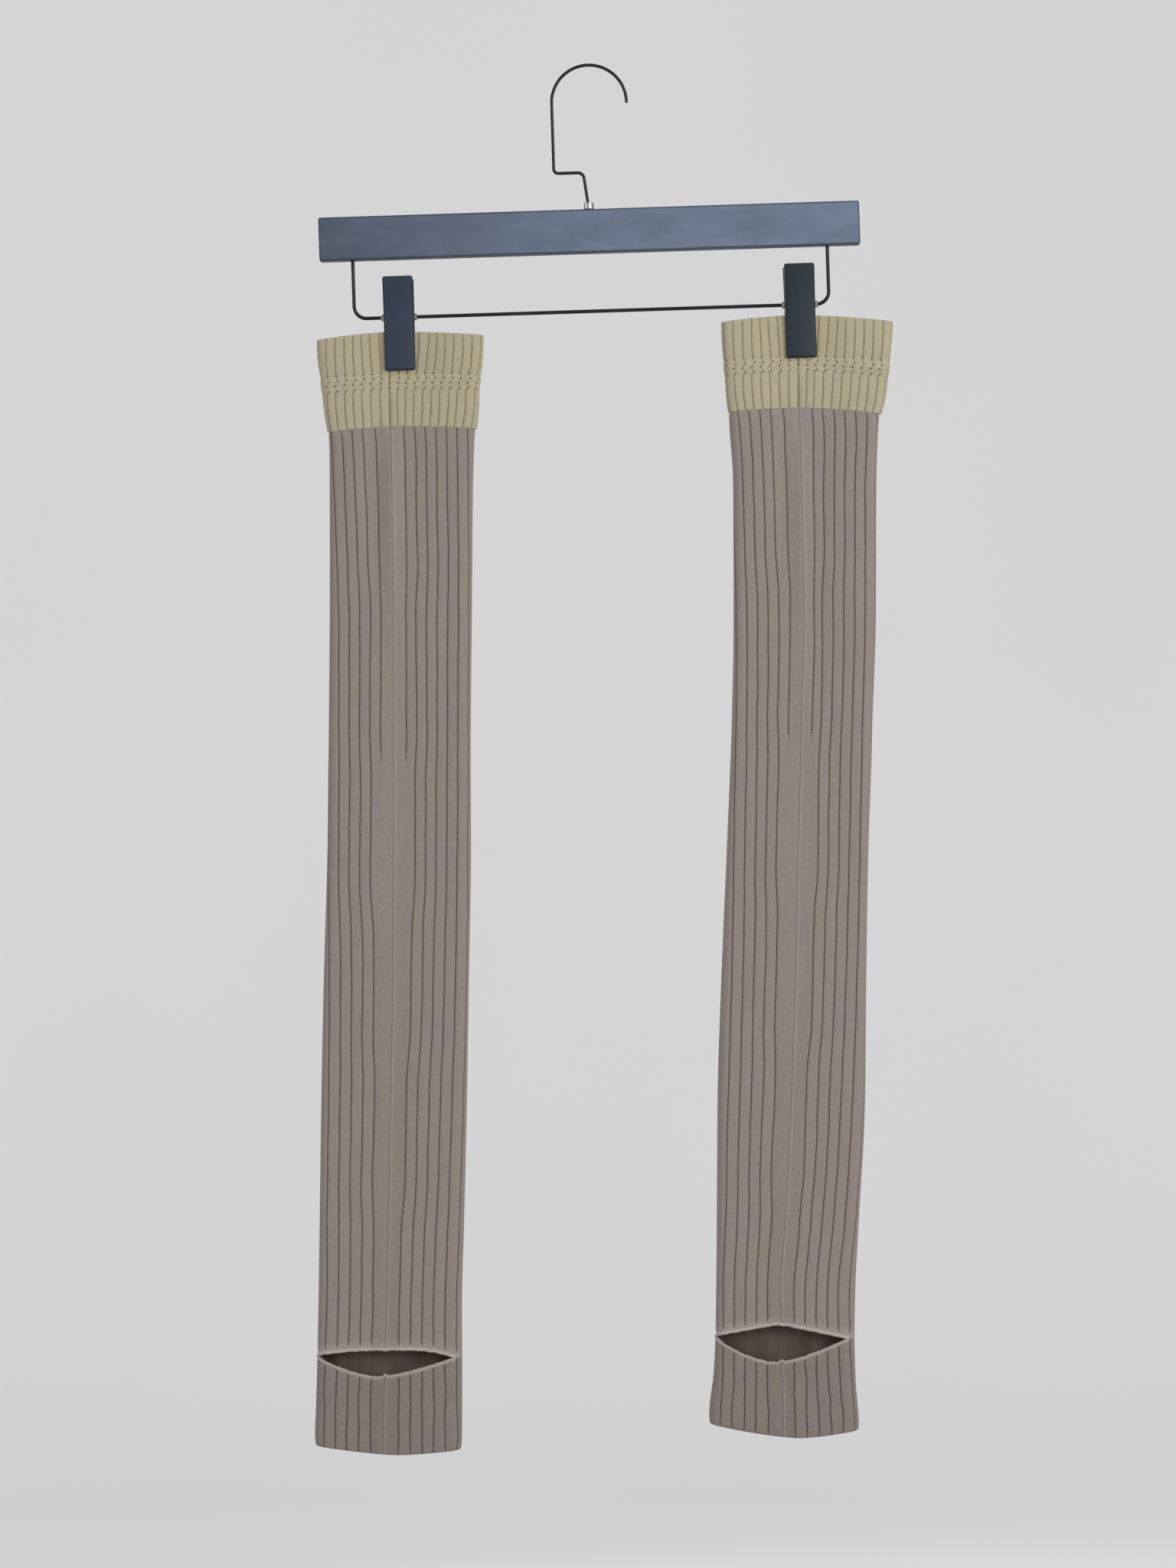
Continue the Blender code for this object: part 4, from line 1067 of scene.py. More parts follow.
def close_tube(shape, walls, columns, edge_rows):
    """Sews the seam column shut and joins the two walls along each open edge."""
    ints = shape.verts.layers.int
    ends = [vert for vert in shape.verts if vert[ints["column"]] in (0, columns)]
    bmesh.ops.remove_doubles(shape, verts=ends, dist=SNAP * MM)
    last = [len(rows) - 1 for rows in walls]
    for wanted in filter(None, ([0, 0], last, edge_rows)):
        rim = {vert for vert in shape.verts if vert[ints["row"]] == wanted[vert[ints["wall"]]]}
        edges = [edge for edge in shape.edges if edge.is_boundary and rim.issuperset(edge.verts)]
        bmesh.ops.bridge_loops(shape, edges=edges)
    bmesh.ops.recalc_face_normals(shape, faces=shape.faces)


def map_stitches(shape, knit, walls, columns, settings):
    """A UV map that counts stitches: columns of them round the tube, and rows of them down it."""
    ints = shape.verts.layers.int
    uv = shape.loops.layers.uv["stitches"]
    shares = knit.fabric.shares
    stocking_girth = knit.course(walls[0][len(walls[0]) // 2]).girth
    ribs = columns // len(shares)
    per_rib = max(1, round(stocking_girth / ribs / (settings.stitch_width / MM)))
    for face in shape.faces:
        places = [loop.vert[ints["column"]] for loop in face.loops]
        wraps = max(places) - min(places) > columns / 2
        for loop, column in zip(face.loops, places):
            rib, step = divmod(column, len(shares))
            rib += ribs if wraps and column < columns / 2 else 0
            drop = walls[loop.vert[ints["wall"]]][loop.vert[ints["row"]]]
            loop[uv].uv = (per_rib * (rib + shares[step]), drop * MM / settings.stitch_height)


def knit_tube(name, knit, point, walls, edge_rows, settings):
    """A knitted tube as one closed thin shell: a fine outer wall and a plainer inner one."""
    shape = bmesh.new()
    for layer in ("column", "row", "wall", "side"):
        shape.verts.layers.int.new(layer)
    for layer in LOOKS:
        shape.verts.layers.float.new(layer)
    shape.loops.layers.uv.new("stitches")
    columns = len(knit.fabric.shares) * (len(knit.course(walls[0][0]).places) - 1)
    for kind, rows in enumerate(walls):
        add_wall(shape, columns, len(rows), kind, edge_rows[kind] if edge_rows else None)
    place_points(shape, knit, point, walls, columns)
    close_tube(shape, walls, columns, edge_rows)
    map_stitches(shape, knit, walls, columns, settings)
    return mesh_object(name, shape)


# The hanger's places, from the inner side of its crown, where the origin is
TILT = Matrix.Rotation(-math.radians(HANGER_TILT), 3, "Y")
CROWN_DROP = HOOK_CROWN_RADIUS - HOOK_WIRE / 2
CROWN = (-CROWN_DROP * math.sin(math.radians(HANGER_TILT)), -CROWN_DROP * math.cos(math.radians(HANGER_TILT)))
BAR_MIDDLE = CROWN[0] - HOOK_CROWN_OFFSET
BAR_TOP = CROWN[1] - HOOK_CROWN_HEIGHT
BAR_BOTTOM = BAR_TOP - BAR_HEIGHT
WIRE_LEVEL = BAR_BOTTOM - LOWER_WIRE_DROP


def clip_seat(stocking):
    """The place of a stocking's clip on the lower wire, in the hanger's level frame."""
    return Vector((BAR_MIDDLE + stocking.clip_place, 0.0, WIRE_LEVEL))


def stocking_origin(stocking):
    """The place of the top edge of a stocking on its clip's line."""
    return TILT @ clip_seat(stocking) - Vector((0.0, 0.0, stocking.cuff_drop))


def per_metre(size):
    """The scale of a pattern whose marks are so many millimetres across."""
    return 1 / (size * MM)


def toned(tree, colour, pattern, low, high, start=0.0, stop=1.0):
    """A colour that a pattern darkens and lightens. Its tone goes from low to high as the pattern does."""
    limits = {"From Min": start, "From Max": stop, "To Min": low, "To Max": high}
    tone = add(tree, "MapRange", {"Value": pattern, **limits})
    return add(tree, "Mix", {0: 1.0, 6: colour, 7: tone}, data_type="RGBA", blend_type="MULTIPLY")


def layered(tree, colour, *layers):
    """A colour under layers of others, each a share and a colour."""
    for share, over in layers:
        colour = add(tree, "Mix", {0: share, 6: colour, 7: over}, data_type="RGBA")
    return colour


def level_place(tree, centre):
    """Places as the level hanger has them, from a centre."""
    place = add(tree, "TexCoord").outputs["Object"]
    turn = (0.0, -math.radians(HANGER_TILT), 0.0)
    return add(
        tree, "Mapping", {"Vector": place, "Location": centre * MM, "Rotation": turn}, vector_type="TEXTURE"
    )


def towards_edge(tree, way, half, start, stop, **settings):
    """A share that goes from 0 to 1 near an edge, between two distances from it."""
    limits = {"From Min": (half - start) * MM, "From Max": (half - stop) * MM}
    return add(tree, "MapRange", {"Value": way, **limits}, **settings)


def finish_surface(tree, shader, colour, pattern, gloss, relief, fixed):
    """Sets a shader's colour, the gloss and relief that follow a pattern, and its fixed values.

    gloss is the least and most roughness, and relief the pattern's height and strength, if any.
    """
    rough = add(tree, "MapRange", {"Value": pattern, "To Min": gloss[0], "To Max": gloss[1]})
    set_sockets(tree, shader, {"Base Color": colour, "Roughness": rough, **fixed})
    if relief:
        height, strength = relief
        bump = add(tree, "Bump", {"Height": pattern, "Distance": height * MM, "Strength": strength})
        set_sockets(tree, shader, {"Normal": bump})


def stitch_height(tree, across, down):
    """The height, 0 to 1, of knitted stitches: two slanted legs to a column, one loop to a row."""
    wale = add(tree, "Math", {0: across}, operation="FRACT")
    centred = add(tree, "Math", {0: wale, 1: 0.5}, operation="SUBTRACT")
    from_middle = add(tree, "Math", {0: centred}, operation="ABSOLUTE")
    slant = add(tree, "Math", {0: from_middle, 1: -STITCH_SLANT, 2: down}, operation="MULTIPLY_ADD")
    turn = add(tree, "Math", {0: slant}, operation="FRACT")
    half_turn = add(tree, "Math", {0: turn, 1: math.pi}, operation="MULTIPLY")
    loop = add(tree, "Math", {0: half_turn}, operation="SINE")
    side = add(tree, "Math", {0: across, 1: 2 * math.pi}, operation="MULTIPLY")
    leg = add(tree, "Math", {0: side}, operation="SINE")
    leg_size = add(tree, "Math", {0: leg}, operation="ABSOLUTE")
    return add(tree, "Math", {0: loop, 1: leg_size}, operation="MULTIPLY")


def knit_material(name, part, settings):
    """Fine ribbed jersey of brushed wool blend: matt, with a faint nap that pales its edges.

    The stitches are drawn at their real size. The fibres, 0.02 mm in the real yarn, are drawn as
    flecks of about 1 mm, or they wouldn't show.
    """
    warm, cool, pale, deep, back = ((*getattr(settings, f"{part}_{shade}"), 1.0) for shade in SHADES)
    made, tree, shader = new_material(name)
    noted = {look: add(tree, "Attribute", attribute_name=look).outputs["Fac"] for look in LOOKS}
    stitches = add(tree, "UVMap", uv_map="stitches")
    across, down, _ = add(tree, "SeparateXYZ", {0: stitches}).outputs
    stitch = stitch_height(tree, across, down)
    place = add(tree, "TexCoord").outputs["Object"]
    clouds = {"Vector": place, "Scale": per_metre(YARN_CLOUD), "Detail": 3.0, "Roughness": 0.6}
    mottle = add(tree, "TexNoise", clouds)
    drawn_out = add(tree, "Mapping", {"Vector": place, "Scale": (1.0, 1.0, 0.55)})
    flecks = {"Vector": drawn_out, "Scale": per_metre(YARN_FLECK), "Detail": 2.0, "Roughness": 0.7}
    fibres = add(tree, "TexNoise", flecks)

    # The yarn's own colour, from cool to warm, on both sides of the cloth, with painted shade in the low
    # parts of each stitch
    limits = {"From Min": 0.3, "From Max": 0.7, "To Min": -0.2, "To Max": 0.2}
    drift = add(tree, "MapRange", {"Value": mottle, **limits})
    warmth = add(tree, "Math", {0: noted["tint"], 1: drift}, operation="ADD", use_clamp=True)
    yarn = toned(tree, layered(tree, cool, (warmth, warm)), stitch, 0.91, 1.05)
    # Painted shade: the foot below the heel opening is darker, as it faces down, away from the light
    yarn = toned(tree, yarn, noted["foot"], 1.0, 0.86)
    # Painted shade: the inner wall takes the darker wrong-side colour, for the shade inside the tube
    inside_shade = toned(tree, back, warmth, 0.75, 1.25)

    # Pale and dark fibres, then the pale rim, which on the cuff is a painted highlight on its puckers and top
    # edge
    fleck = add(tree, "MapRange", {"Value": fibres, "From Min": 0.58, "From Max": 0.8, "To Max": 0.45})
    thin = {"From Min": 0.3, "From Max": 0.46, "To Min": 0.2, "To Max": 0.0}
    speck = add(tree, "MapRange", {"Value": fibres, **thin})
    rim = add(tree, "Math", {0: noted["rim"], 1: 0.72}, operation="MULTIPLY")

    # Painted shade in the grooves, darker at each row of stitches and broken up by the mottle, then the two
    # lines of the seam
    row_turn = add(tree, "Math", {0: down, 1: 1.5 * math.pi}, operation="MULTIPLY")
    row_wave = add(tree, "Math", {0: row_turn}, operation="SINE")
    bead = add(tree, "MapRange", {"Value": row_wave, "From Min": -1.0, "To Min": 0.66})
    breaks = {"From Min": 0.35, "From Max": 0.65, "To Min": 0.62}
    broken = add(tree, "MapRange", {"Value": mottle, **breaks})
    beaded = add(tree, "Math", {0: bead, 1: broken}, operation="MULTIPLY")
    lines = [(add(tree, "Math", {0: noted["groove"], 1: beaded}, operation="MULTIPLY"), deep)]
    # The seam's dark line is painted shade in its crease, and the pale line beside it a painted highlight on
    # the ridge
    for look, colour, start, strength in (("seam", deep, 0.72, 0.26), ("ridge", pale, 0.3, 0.3)):
        limits = {"From Min": start, "From Max": 0.98, "To Max": strength}
        line = add(tree, "MapRange", {"Value": noted[look], **limits}, interpolation_type="SMOOTHSTEP")
        lines.append((add(tree, "Math", {0: line, 1: broken}, operation="MULTIPLY"), colour))
    laid = [(fleck, pale), (speck, deep), (rim, pale), (noted["inside"], inside_shade), *lines]

    nap = add(tree, "Math", {0: fibres, 1: 0.5, 2: stitch}, operation="MULTIPLY_ADD")
    relief = add(tree, "MapRange", {"Value": noted["inside"], "To Min": 1.0, "To Max": 0.15})
    bump = add(tree, "Bump", {"Height": nap, "Distance": settings.stitch_relief, "Strength": relief})
    finish = {"Base Color": layered(tree, yarn, *laid), "Normal": bump, "Roughness": 0.95, "IOR": 1.46}
    nap_sheen = {"Sheen Weight": 0.36, "Sheen Roughness": 0.4, "Sheen Tint": pale}
    set_sockets(tree, shader, {**finish, "Specular IOR Level": 0.2, **nap_sheen})
    return made


def painted_wood_material(settings):
    """Beech under blue-grey paint, brushed on along the grain, darker at its upper edge and ends, with
    painted shade on its underside and towards its left end.

    The brush marks are drawn about 1.5 mm apart, a little coarser than the bristles', so that they show.
    """
    made, tree, shader = new_material("painted_beech")
    coats = (settings.paint, settings.paint_dark, settings.paint_edge_and_shade)
    paint, thin_paint, edge_dark = ((*colour, 1.0) for colour in coats)
    middle = Vector((BAR_MIDDLE, 0.0, (BAR_TOP + BAR_BOTTOM) / 2))
    level = level_place(tree, TILT @ middle)
    patterns = []
    for stretch, size in ((0.05, BRUSH_MARK), (0.5, PAINT_CLOUD)):
        drawn_out = add(tree, "Mapping", {"Vector": level, "Scale": (stretch, 1.0, 1.0)})
        marks = {"Vector": drawn_out, "Scale": per_metre(size), "Detail": 4.0, "Roughness": 0.6}
        patterns.append(add(tree, "TexNoise", marks))
    brushed, cloudy = patterns
    patch = add(tree, "MapRange", {"Value": cloudy, "From Min": 0.3, "From Max": 0.88})
    streaked = toned(tree, layered(tree, paint, (patch, thin_paint)), brushed, 0.95, 1.04, 0.3, 0.7)
    along, forward, up = add(tree, "SeparateXYZ", {0: level}).outputs
    # Painted shade: the paint darkens towards the bar's left end, away from the light on the right
    shaded_leftwards = toned(tree, streaked, along, 0.54, 1.0, -0.5 * BAR_LENGTH * MM, 0.05 * BAR_LENGTH * MM)

    # Darker along the upper edge and the ends where they meet the faces, and painted shade along the lower
    # edge and all over the underside
    depth = add(tree, "Math", {0: forward}, operation="ABSOLUTE")
    reach = add(tree, "Math", {0: along}, operation="ABSOLUTE")
    down = add(tree, "Math", {0: up, 1: -1.0}, operation="MULTIPLY")
    top, foot, end, face = (
        towards_edge(tree, *row, interpolation_type="SMOOTHSTEP")
        for row in (
            (up, BAR_HEIGHT / 2, 1.5, 0.4),
            (down, BAR_HEIGHT / 2, 1.5, 0.3),
            (reach, BAR_LENGTH / 2, 1.5, 0.5),
            (depth, BAR_DEPTH / 2, 2.4, 1.2),
        )
    )
    top_and_ends = add(tree, "Math", {0: top, 1: end}, operation="MAXIMUM")
    on_corners = add(tree, "Math", {0: top_and_ends, 1: face}, operation="MULTIPLY")
    dark_edges_and_underside_shade = add(tree, "Math", {0: on_corners, 1: foot}, operation="MAXIMUM")
    darkened = add(tree, "Math", {0: dark_edges_and_underside_shade, 1: 0.8}, operation="MULTIPLY")
    edged = layered(tree, shaded_leftwards, (darkened, edge_dark))
    finish_surface(tree, shader, edged, brushed, (0.42, 0.62), (0.08, 1.0), {"Specular IOR Level": 0.3})
    return made


def enamel_material(settings):
    """Steel wire dipped in green-black enamel: smooth, with faint runs and a soft gloss."""
    made, tree, shader = new_material("enamelled_wire")
    place = add(tree, "TexCoord").outputs["Object"]
    runs = add(tree, "TexNoise", {"Vector": place, "Scale": per_metre(ENAMEL_RUN), "Detail": 3.0})
    colour = toned(tree, (*settings.enamel, 1.0), runs, 0.75, 1.35)
    finish_surface(tree, shader, colour, runs, (0.3, 0.45), (0.04, 0.6), {"Specular IOR Level": 0.3})
    return made


def nickel_material(settings):
    """Bright nickel plate on turned steel: fine turning marks spread its shine a little."""
    made, tree, shader = new_material("nickel_plated_steel")
    place = add(tree, "TexCoord").outputs["Object"]
    marks = add(tree, "TexNoise", {"Vector": place, "Scale": per_metre(TOOL_MARK), "Detail": 2.0})
    colour = toned(tree, (*settings.plate, 1.0), marks, 0.85, 1.05)
    finish_surface(tree, shader, colour, marks, (0.2, 0.36), None, {"Metallic": 1.0})
    return made


def clip_material(name, colour, edge, seat):
    """Moulded ABS in slate blue: a fine spark-eroded grain on its faces, smooth at its edges, where painted
    shade and a painted dark reflection make it near black.

    The grain, 0.1 mm in the mould, is drawn at 0.4 mm so that it shows.
    """
    made, tree, shader = new_material(name)
    level = level_place(tree, seat)
    grain = add(tree, "TexNoise", {"Vector": level, "Scale": per_metre(PLASTIC_GRAIN), "Detail": 2.0})
    cloudy = add(tree, "TexNoise", {"Vector": level, "Scale": per_metre(PLASTIC_CLOUD), "Detail": 2.0})
    body = toned(tree, (*colour, 1.0), cloudy, 0.9, 1.1, 0.3, 0.7)
    along, _, up = add(tree, "SeparateXYZ", {0: level}).outputs
    middle = (CLIP_ABOVE_WIRE - CLIP_BELOW_WIRE) / 2
    lifted = add(tree, "Math", {0: up, 1: middle * MM}, operation="SUBTRACT")
    height = add(tree, "Math", {0: lifted}, operation="ABSOLUTE")
    reach = add(tree, "Math", {0: along}, operation="ABSOLUTE")
    # Painted shade and dark reflection on the rounded ends and sides
    near_end = towards_edge(tree, height, (CLIP_ABOVE_WIRE + CLIP_BELOW_WIRE) / 2, 1.5, 0.5)
    near_side = towards_edge(tree, reach, CLIP_WIDTH / 2, 1.2, 0.5)
    rounded = add(tree, "Math", {0: near_end, 1: near_side}, operation="MAXIMUM")
    dark = add(tree, "Math", {0: rounded, 1: 0.85}, operation="MULTIPLY")
    edged = layered(tree, body, (dark, (*edge, 1.0)))
    fixed = {"IOR": 1.53, "Specular IOR Level": 0.28}
    finish_surface(tree, shader, edged, grain, (0.42, 0.56), (0.03, 0.7), fixed)
    return made


def arc(centre, radius, start, end, steps):
    """Points along an arc in the X-Z plane, by angles in degrees from +X towards +Z."""
    points = []
    for step in range(steps + 1):
        angle = math.radians(start + (end - start) * step / steps)
        way = Vector((math.cos(angle), 0.0, math.sin(angle)))
        points.append(Vector((centre[0], 0.0, centre[1])) + radius * way)
    return points


def wire(name, points, diameter, resolution=6):
    """A smooth round wire along points of the hanger's frame."""
    curve = bpy.data.curves.new(name, "CURVE")
    curve.dimensions = "3D"
    curve.bevel_depth = diameter / 2 * MM
    curve.bevel_resolution = resolution
    curve.use_fill_caps = True
    spline = curve.splines.new("POLY")
    spline.points.add(len(points) - 1)
    for spot, point in zip(spline.points, points):
        spot.co = (*(TILT @ Vector(point) * MM), 1.0)
    spline.use_smooth = True
    return bpy.data.objects.new(name, curve)


def spun(points, closed, steps):
    """A bmesh of a line of points, a closed one if wanted, that is spun all round the Z axis."""
    shape = bmesh.new()
    spots = [shape.verts.new(point) for point in points]
    following = spots[1:] + spots[:1] if closed else spots[1:]
    edges = [shape.edges.new(pair) for pair in zip(spots, following)]
    bmesh.ops.spin(
        shape,
        geom=spots + edges,
        cent=(0.0, 0.0, 0.0),
        axis=(0.0, 0.0, 1.0),
        dvec=(0.0, 0.0, 0.0),
        angle=2 * math.pi,
        steps=steps,
        use_merge=True,
    )
    bmesh.ops.remove_doubles(shape, verts=shape.verts, dist=SNAP * MM)
    return shape


def turned(name, half_profile, axis, place, steps):
    """A turned piece with two like ends, spun about an axis at a place.

    half_profile has the radius and the way along the axis of each point of one end, from inside.
    """
    profile = half_profile + [(radius, -way) for radius, way in reversed(half_profile)]
    points = [Vector((radius, 0.0, way)) * MM for radius, way in profile]
    shape = spun(points, True, steps)
    bmesh.ops.recalc_face_normals(shape, faces=shape.faces)
    turn = TILT @ Vector((0.0, 0.0, 1.0)).rotation_difference(axis).to_matrix()
    form = Matrix.Translation(TILT @ place * MM) @ turn.to_4x4()
    bmesh.ops.transform(shape, matrix=form, verts=shape.verts)
    made = mesh_object(name, shape)
    made.data.set_sharp_from_angle(angle=math.radians(TURNED_SHARP))
    return made


class STOCKINGS_OT_knit_legs(bpy.types.Operator):
    """Knit the legs, with their ribs, heel openings, creases and decrease stitches"""

    bl_idname = "stockings.knit_legs"
    bl_label = "Knit the legs"

    def execute(self, context):
        settings = context.scene.stockings_knit
        look = knit_material("taupe_wool_rib", "leg", settings)
        for stocking in STOCKINGS:
            knit = Knit(stocking, LEG, stocking.leg, stocking_origin(stocking), settings)
            walls = [
                leg_rows(stocking, EDGE_STEPS, RIM_STEPS, LEG_ROW),
                leg_rows(stocking, INNER_STEPS, INNER_STEPS, INNER_ROW),
            ]
            edge_rows = [rows.index(stocking.heel_drop) for rows in walls]
            name = f"{stocking.side}_leg"
            piece = knit_tube(f"{name}_knit", knit, leg_point, walls, edge_rows, settings)
            add_piece(piece, "leg_yarn", look, name)
            marks = add_piece(self.decreases(stocking, knit), "leg_yarn", look)
            around_it = knit.course(stocking.heel_drop / 2).girth * MM
        return {"FINISHED"}

    @staticmethod
    def decreases(stocking, knit):
        """The small paired stitches that stand up beside the inner grooves where the leg narrows."""
        shape = bmesh.new()
        for layer in LOOKS:
            shape.verts.layers.float.new(layer)
        shape.loops.layers.uv.new("stitches")
        for row in stocking.decreases:
            course = knit.course(row.drop)
            for x, side in ((row.left, 1), (row.right, -1)):
                for across, down, turn in DROPPED_STITCHES:
                    along = x + side * across - course.level.seam
                    spot = knit.spot(course, along, LEG.rib * STITCH_SINK, -down)
                    ball = bmesh.ops.create_uvsphere(shape, u_segments=10, v_segments=6, radius=MM)
                    turned_by = Matrix.Rotation(math.radians(side * turn), 4, "Y")
                    form = Matrix.Translation(spot * MM) @ turned_by @ Matrix.Diagonal(STITCH_FORM)
                    bmesh.ops.transform(shape, matrix=form, verts=ball["verts"])
        for vert in shape.verts:
            vert[shape.verts.layers.float["rim"]] = STITCH_PALE
            vert[shape.verts.layers.float["tint"]] = MIDDLE_TINT
        return mesh_object(f"{stocking.side}_leg_decreases", shape)


class STOCKINGS_OT_knit_cuffs(bpy.types.Operator):
    """Knit the cuffs, with their finer ribs, shirred band and scalloped edges"""

    bl_idname = "stockings.knit_cuffs"
    bl_label = "Knit the cuffs"

    def execute(self, context):
        settings = context.scene.stockings_knit
        look = knit_material("pale_wool_rib", "cuff", settings)
        for stocking in STOCKINGS:
            knit = Knit(stocking, CUFF, stocking.cuff, stocking_origin(stocking), settings)
            walls = [
                cuff_rows(stocking, EDGE_STEPS, CUFF_ROW, BAND_ROW),
                cuff_rows(stocking, INNER_STEPS, INNER_CUFF_ROW, INNER_CUFF_ROW),
            ]
            name = f"{stocking.side}_cuff"
            piece = knit_tube(f"{name}_knit", knit, cuff_point, walls, None, settings)
            add_piece(piece, "cuff_yarn", look, name)
        return {"FINISHED"}


class STOCKINGS_OT_bend_wires(bpy.types.Operator):
    """Bend the hook and the lower wire"""

    bl_idname = "stockings.bend_wires"
    bl_label = "Bend the wires"

    def execute(self, context):
        look = enamel_material(context.scene.stockings_hanger)
        add_piece(self.hook(), "painted_wire", look, "hook")
        add_piece(self.lower_wire(), "painted_wire", look, "lower_wire")
        return {"FINISHED"}

    @staticmethod
    def hook():
        """The hook: a shank, a jog to the left, a riser and the round crown."""
        jog = BAR_TOP + HOOK_JOG_HEIGHT
        riser = CROWN[0] - HOOK_CROWN_RADIUS
        points = [(BAR_MIDDLE, 0.0, BAR_TOP - HOLE_DEPTH + CLEARANCE)]
        points += [(BAR_MIDDLE, 0.0, BAR_TOP + FERRULE_HEIGHT / 2)]
        bend = (BAR_MIDDLE - HOOK_LEAN - HOOK_BEND, jog - HOOK_BEND)
        points += arc(bend, HOOK_BEND, 0, 90, HOOK_BEND_STEPS)
        tight = HOOK_TIGHT_BEND
        points += arc((riser + tight, jog + tight), tight, 270, 180, HOOK_BEND_STEPS)
        points += arc(CROWN, HOOK_CROWN_RADIUS, 180, HOOK_TIP_ANGLE, HOOK_CROWN_STEPS)
        return wire("hook_wire", points, HOOK_WIRE)

    @staticmethod
    def lower_wire():
        """The wire that hangs under the bar as a wide U."""
        reach = BAR_LENGTH / 2 - LOWER_WIRE_INSET
        inset = reach - LOWER_WIRE_BEND
        end = BAR_BOTTOM + HOLE_DEPTH - CLEARANCE
        height = WIRE_LEVEL + LOWER_WIRE_BEND
        points = [(BAR_MIDDLE - reach, 0.0, end)]
        for side, start in ((-1, 180), (1, 270)):
            bend = (BAR_MIDDLE + side * inset, height)
            points += arc(bend, LOWER_WIRE_BEND, start, start + 90, LOWER_WIRE_BEND_STEPS)
        points += [(BAR_MIDDLE + reach, 0.0, end)]
        return wire("lower_wire_bent", points, LOWER_WIRE)


class STOCKINGS_OT_turn_metal(bpy.types.Operator):
    """Turn the hook's collar and the clips' sleeves, and coil the clips' springs"""

    bl_idname = "stockings.turn_metal"
    bl_label = "Turn the small metal parts"

    def execute(self, context):
        look = nickel_material(context.scene.stockings_hanger)
        add_piece(self.collar(), "bright_steel", look, "hook_ferrule")
        for stocking in STOCKINGS:
            name = f"clip_{stocking.side}"
            seat = clip_seat(stocking)
            add_piece(self.sleeve(f"{name}_bush", seat), "bright_steel", look, f"{name}_sleeve")
            add_piece(self.spring(f"{name}_coil", seat), "bright_steel", look, f"{name}_spring")
        return {"FINISHED"}

    @staticmethod
    def collar():
        """The small collar round the shank, with turned chamfers."""
        inner, outer = HOOK_WIRE / 2 + FERRULE_FIT, FERRULE_DIAMETER / 2
        half = FERRULE_HEIGHT / 2
        profile = [(inner, -half), (outer - FERRULE_CHAMFER, -half), (outer, -half + FERRULE_CHAMFER)]
        place = Vector((BAR_MIDDLE, 0.0, BAR_TOP + CLEARANCE + half))
        return turned("hook_collar", profile, Vector((0.0, 0.0, 1.0)), place, FERRULE_STEPS)

    @staticmethod
    def sleeve(name, seat):
        """The sleeve a clip turns on, with a thin flange at each end."""
        inner = LOWER_WIRE / 2 + SLEEVE_FIT
        outer = LOWER_WIRE / 2 + CLEARANCE + SLEEVE_WALL
        half = CLIP_WIDTH / 2 + SLEEVE_PROUD
        start = CLIP_WIDTH / 2 + CLEARANCE
        flange = (SLEEVE_FLANGE, -half + SLEEVE_FLANGE_THICKNESS), (SLEEVE_FLANGE, -start)
        profile = [(inner, -half), (outer, -half), *flange, (outer, -start)]
        return turned(name, profile, Vector((1.0, 0.0, 0.0)), seat, SLEEVE_STEPS)

    @staticmethod
    def spring(name, seat):
        """The torsion spring round a sleeve, with a leg up behind each handle."""
        radius = LOWER_WIRE / 2 + 2 * CLEARANCE + SLEEVE_WALL + SPRING_WIRE / 2
        slope = (HANDLE_GAP - PIVOT_GAP) / (CLIP_ABOVE_WIRE - CLIP_PIVOT_HALF)
        leg_end = PIVOT_GAP + slope * (SPRING_LEG - CLIP_PIVOT_HALF) - CLEARANCE - SPRING_WIRE / 2
        half = SPRING_TURNS * SPRING_PITCH / 2
        steps = round(SPRING_TURNS * SPRING_STEPS)
        points = [seat + Vector((-half, -leg_end, SPRING_LEG))]
        for step in range(steps + 1):
            share = step / steps
            angle = math.pi + 2 * math.pi * SPRING_TURNS * share
            turn = Vector((half * (2 * share - 1), radius * math.cos(angle), radius * math.sin(angle)))
            points.append(seat + turn)
        points.append(seat + Vector((half, leg_end, SPRING_LEG)))
        return wire(name, points, SPRING_WIRE, 3)


class STOCKINGS_OT_paint_bar(bpy.types.Operator):
    """Paint the wooden bar"""

    bl_idname = "stockings.paint_bar"
    bl_label = "Paint the bar"

    def execute(self, context):
        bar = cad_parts["hanger_bar"]
        bar.data.materials.clear()
        bar.data.materials.append(painted_wood_material(context.scene.stockings_hanger))
        return {"FINISHED"}


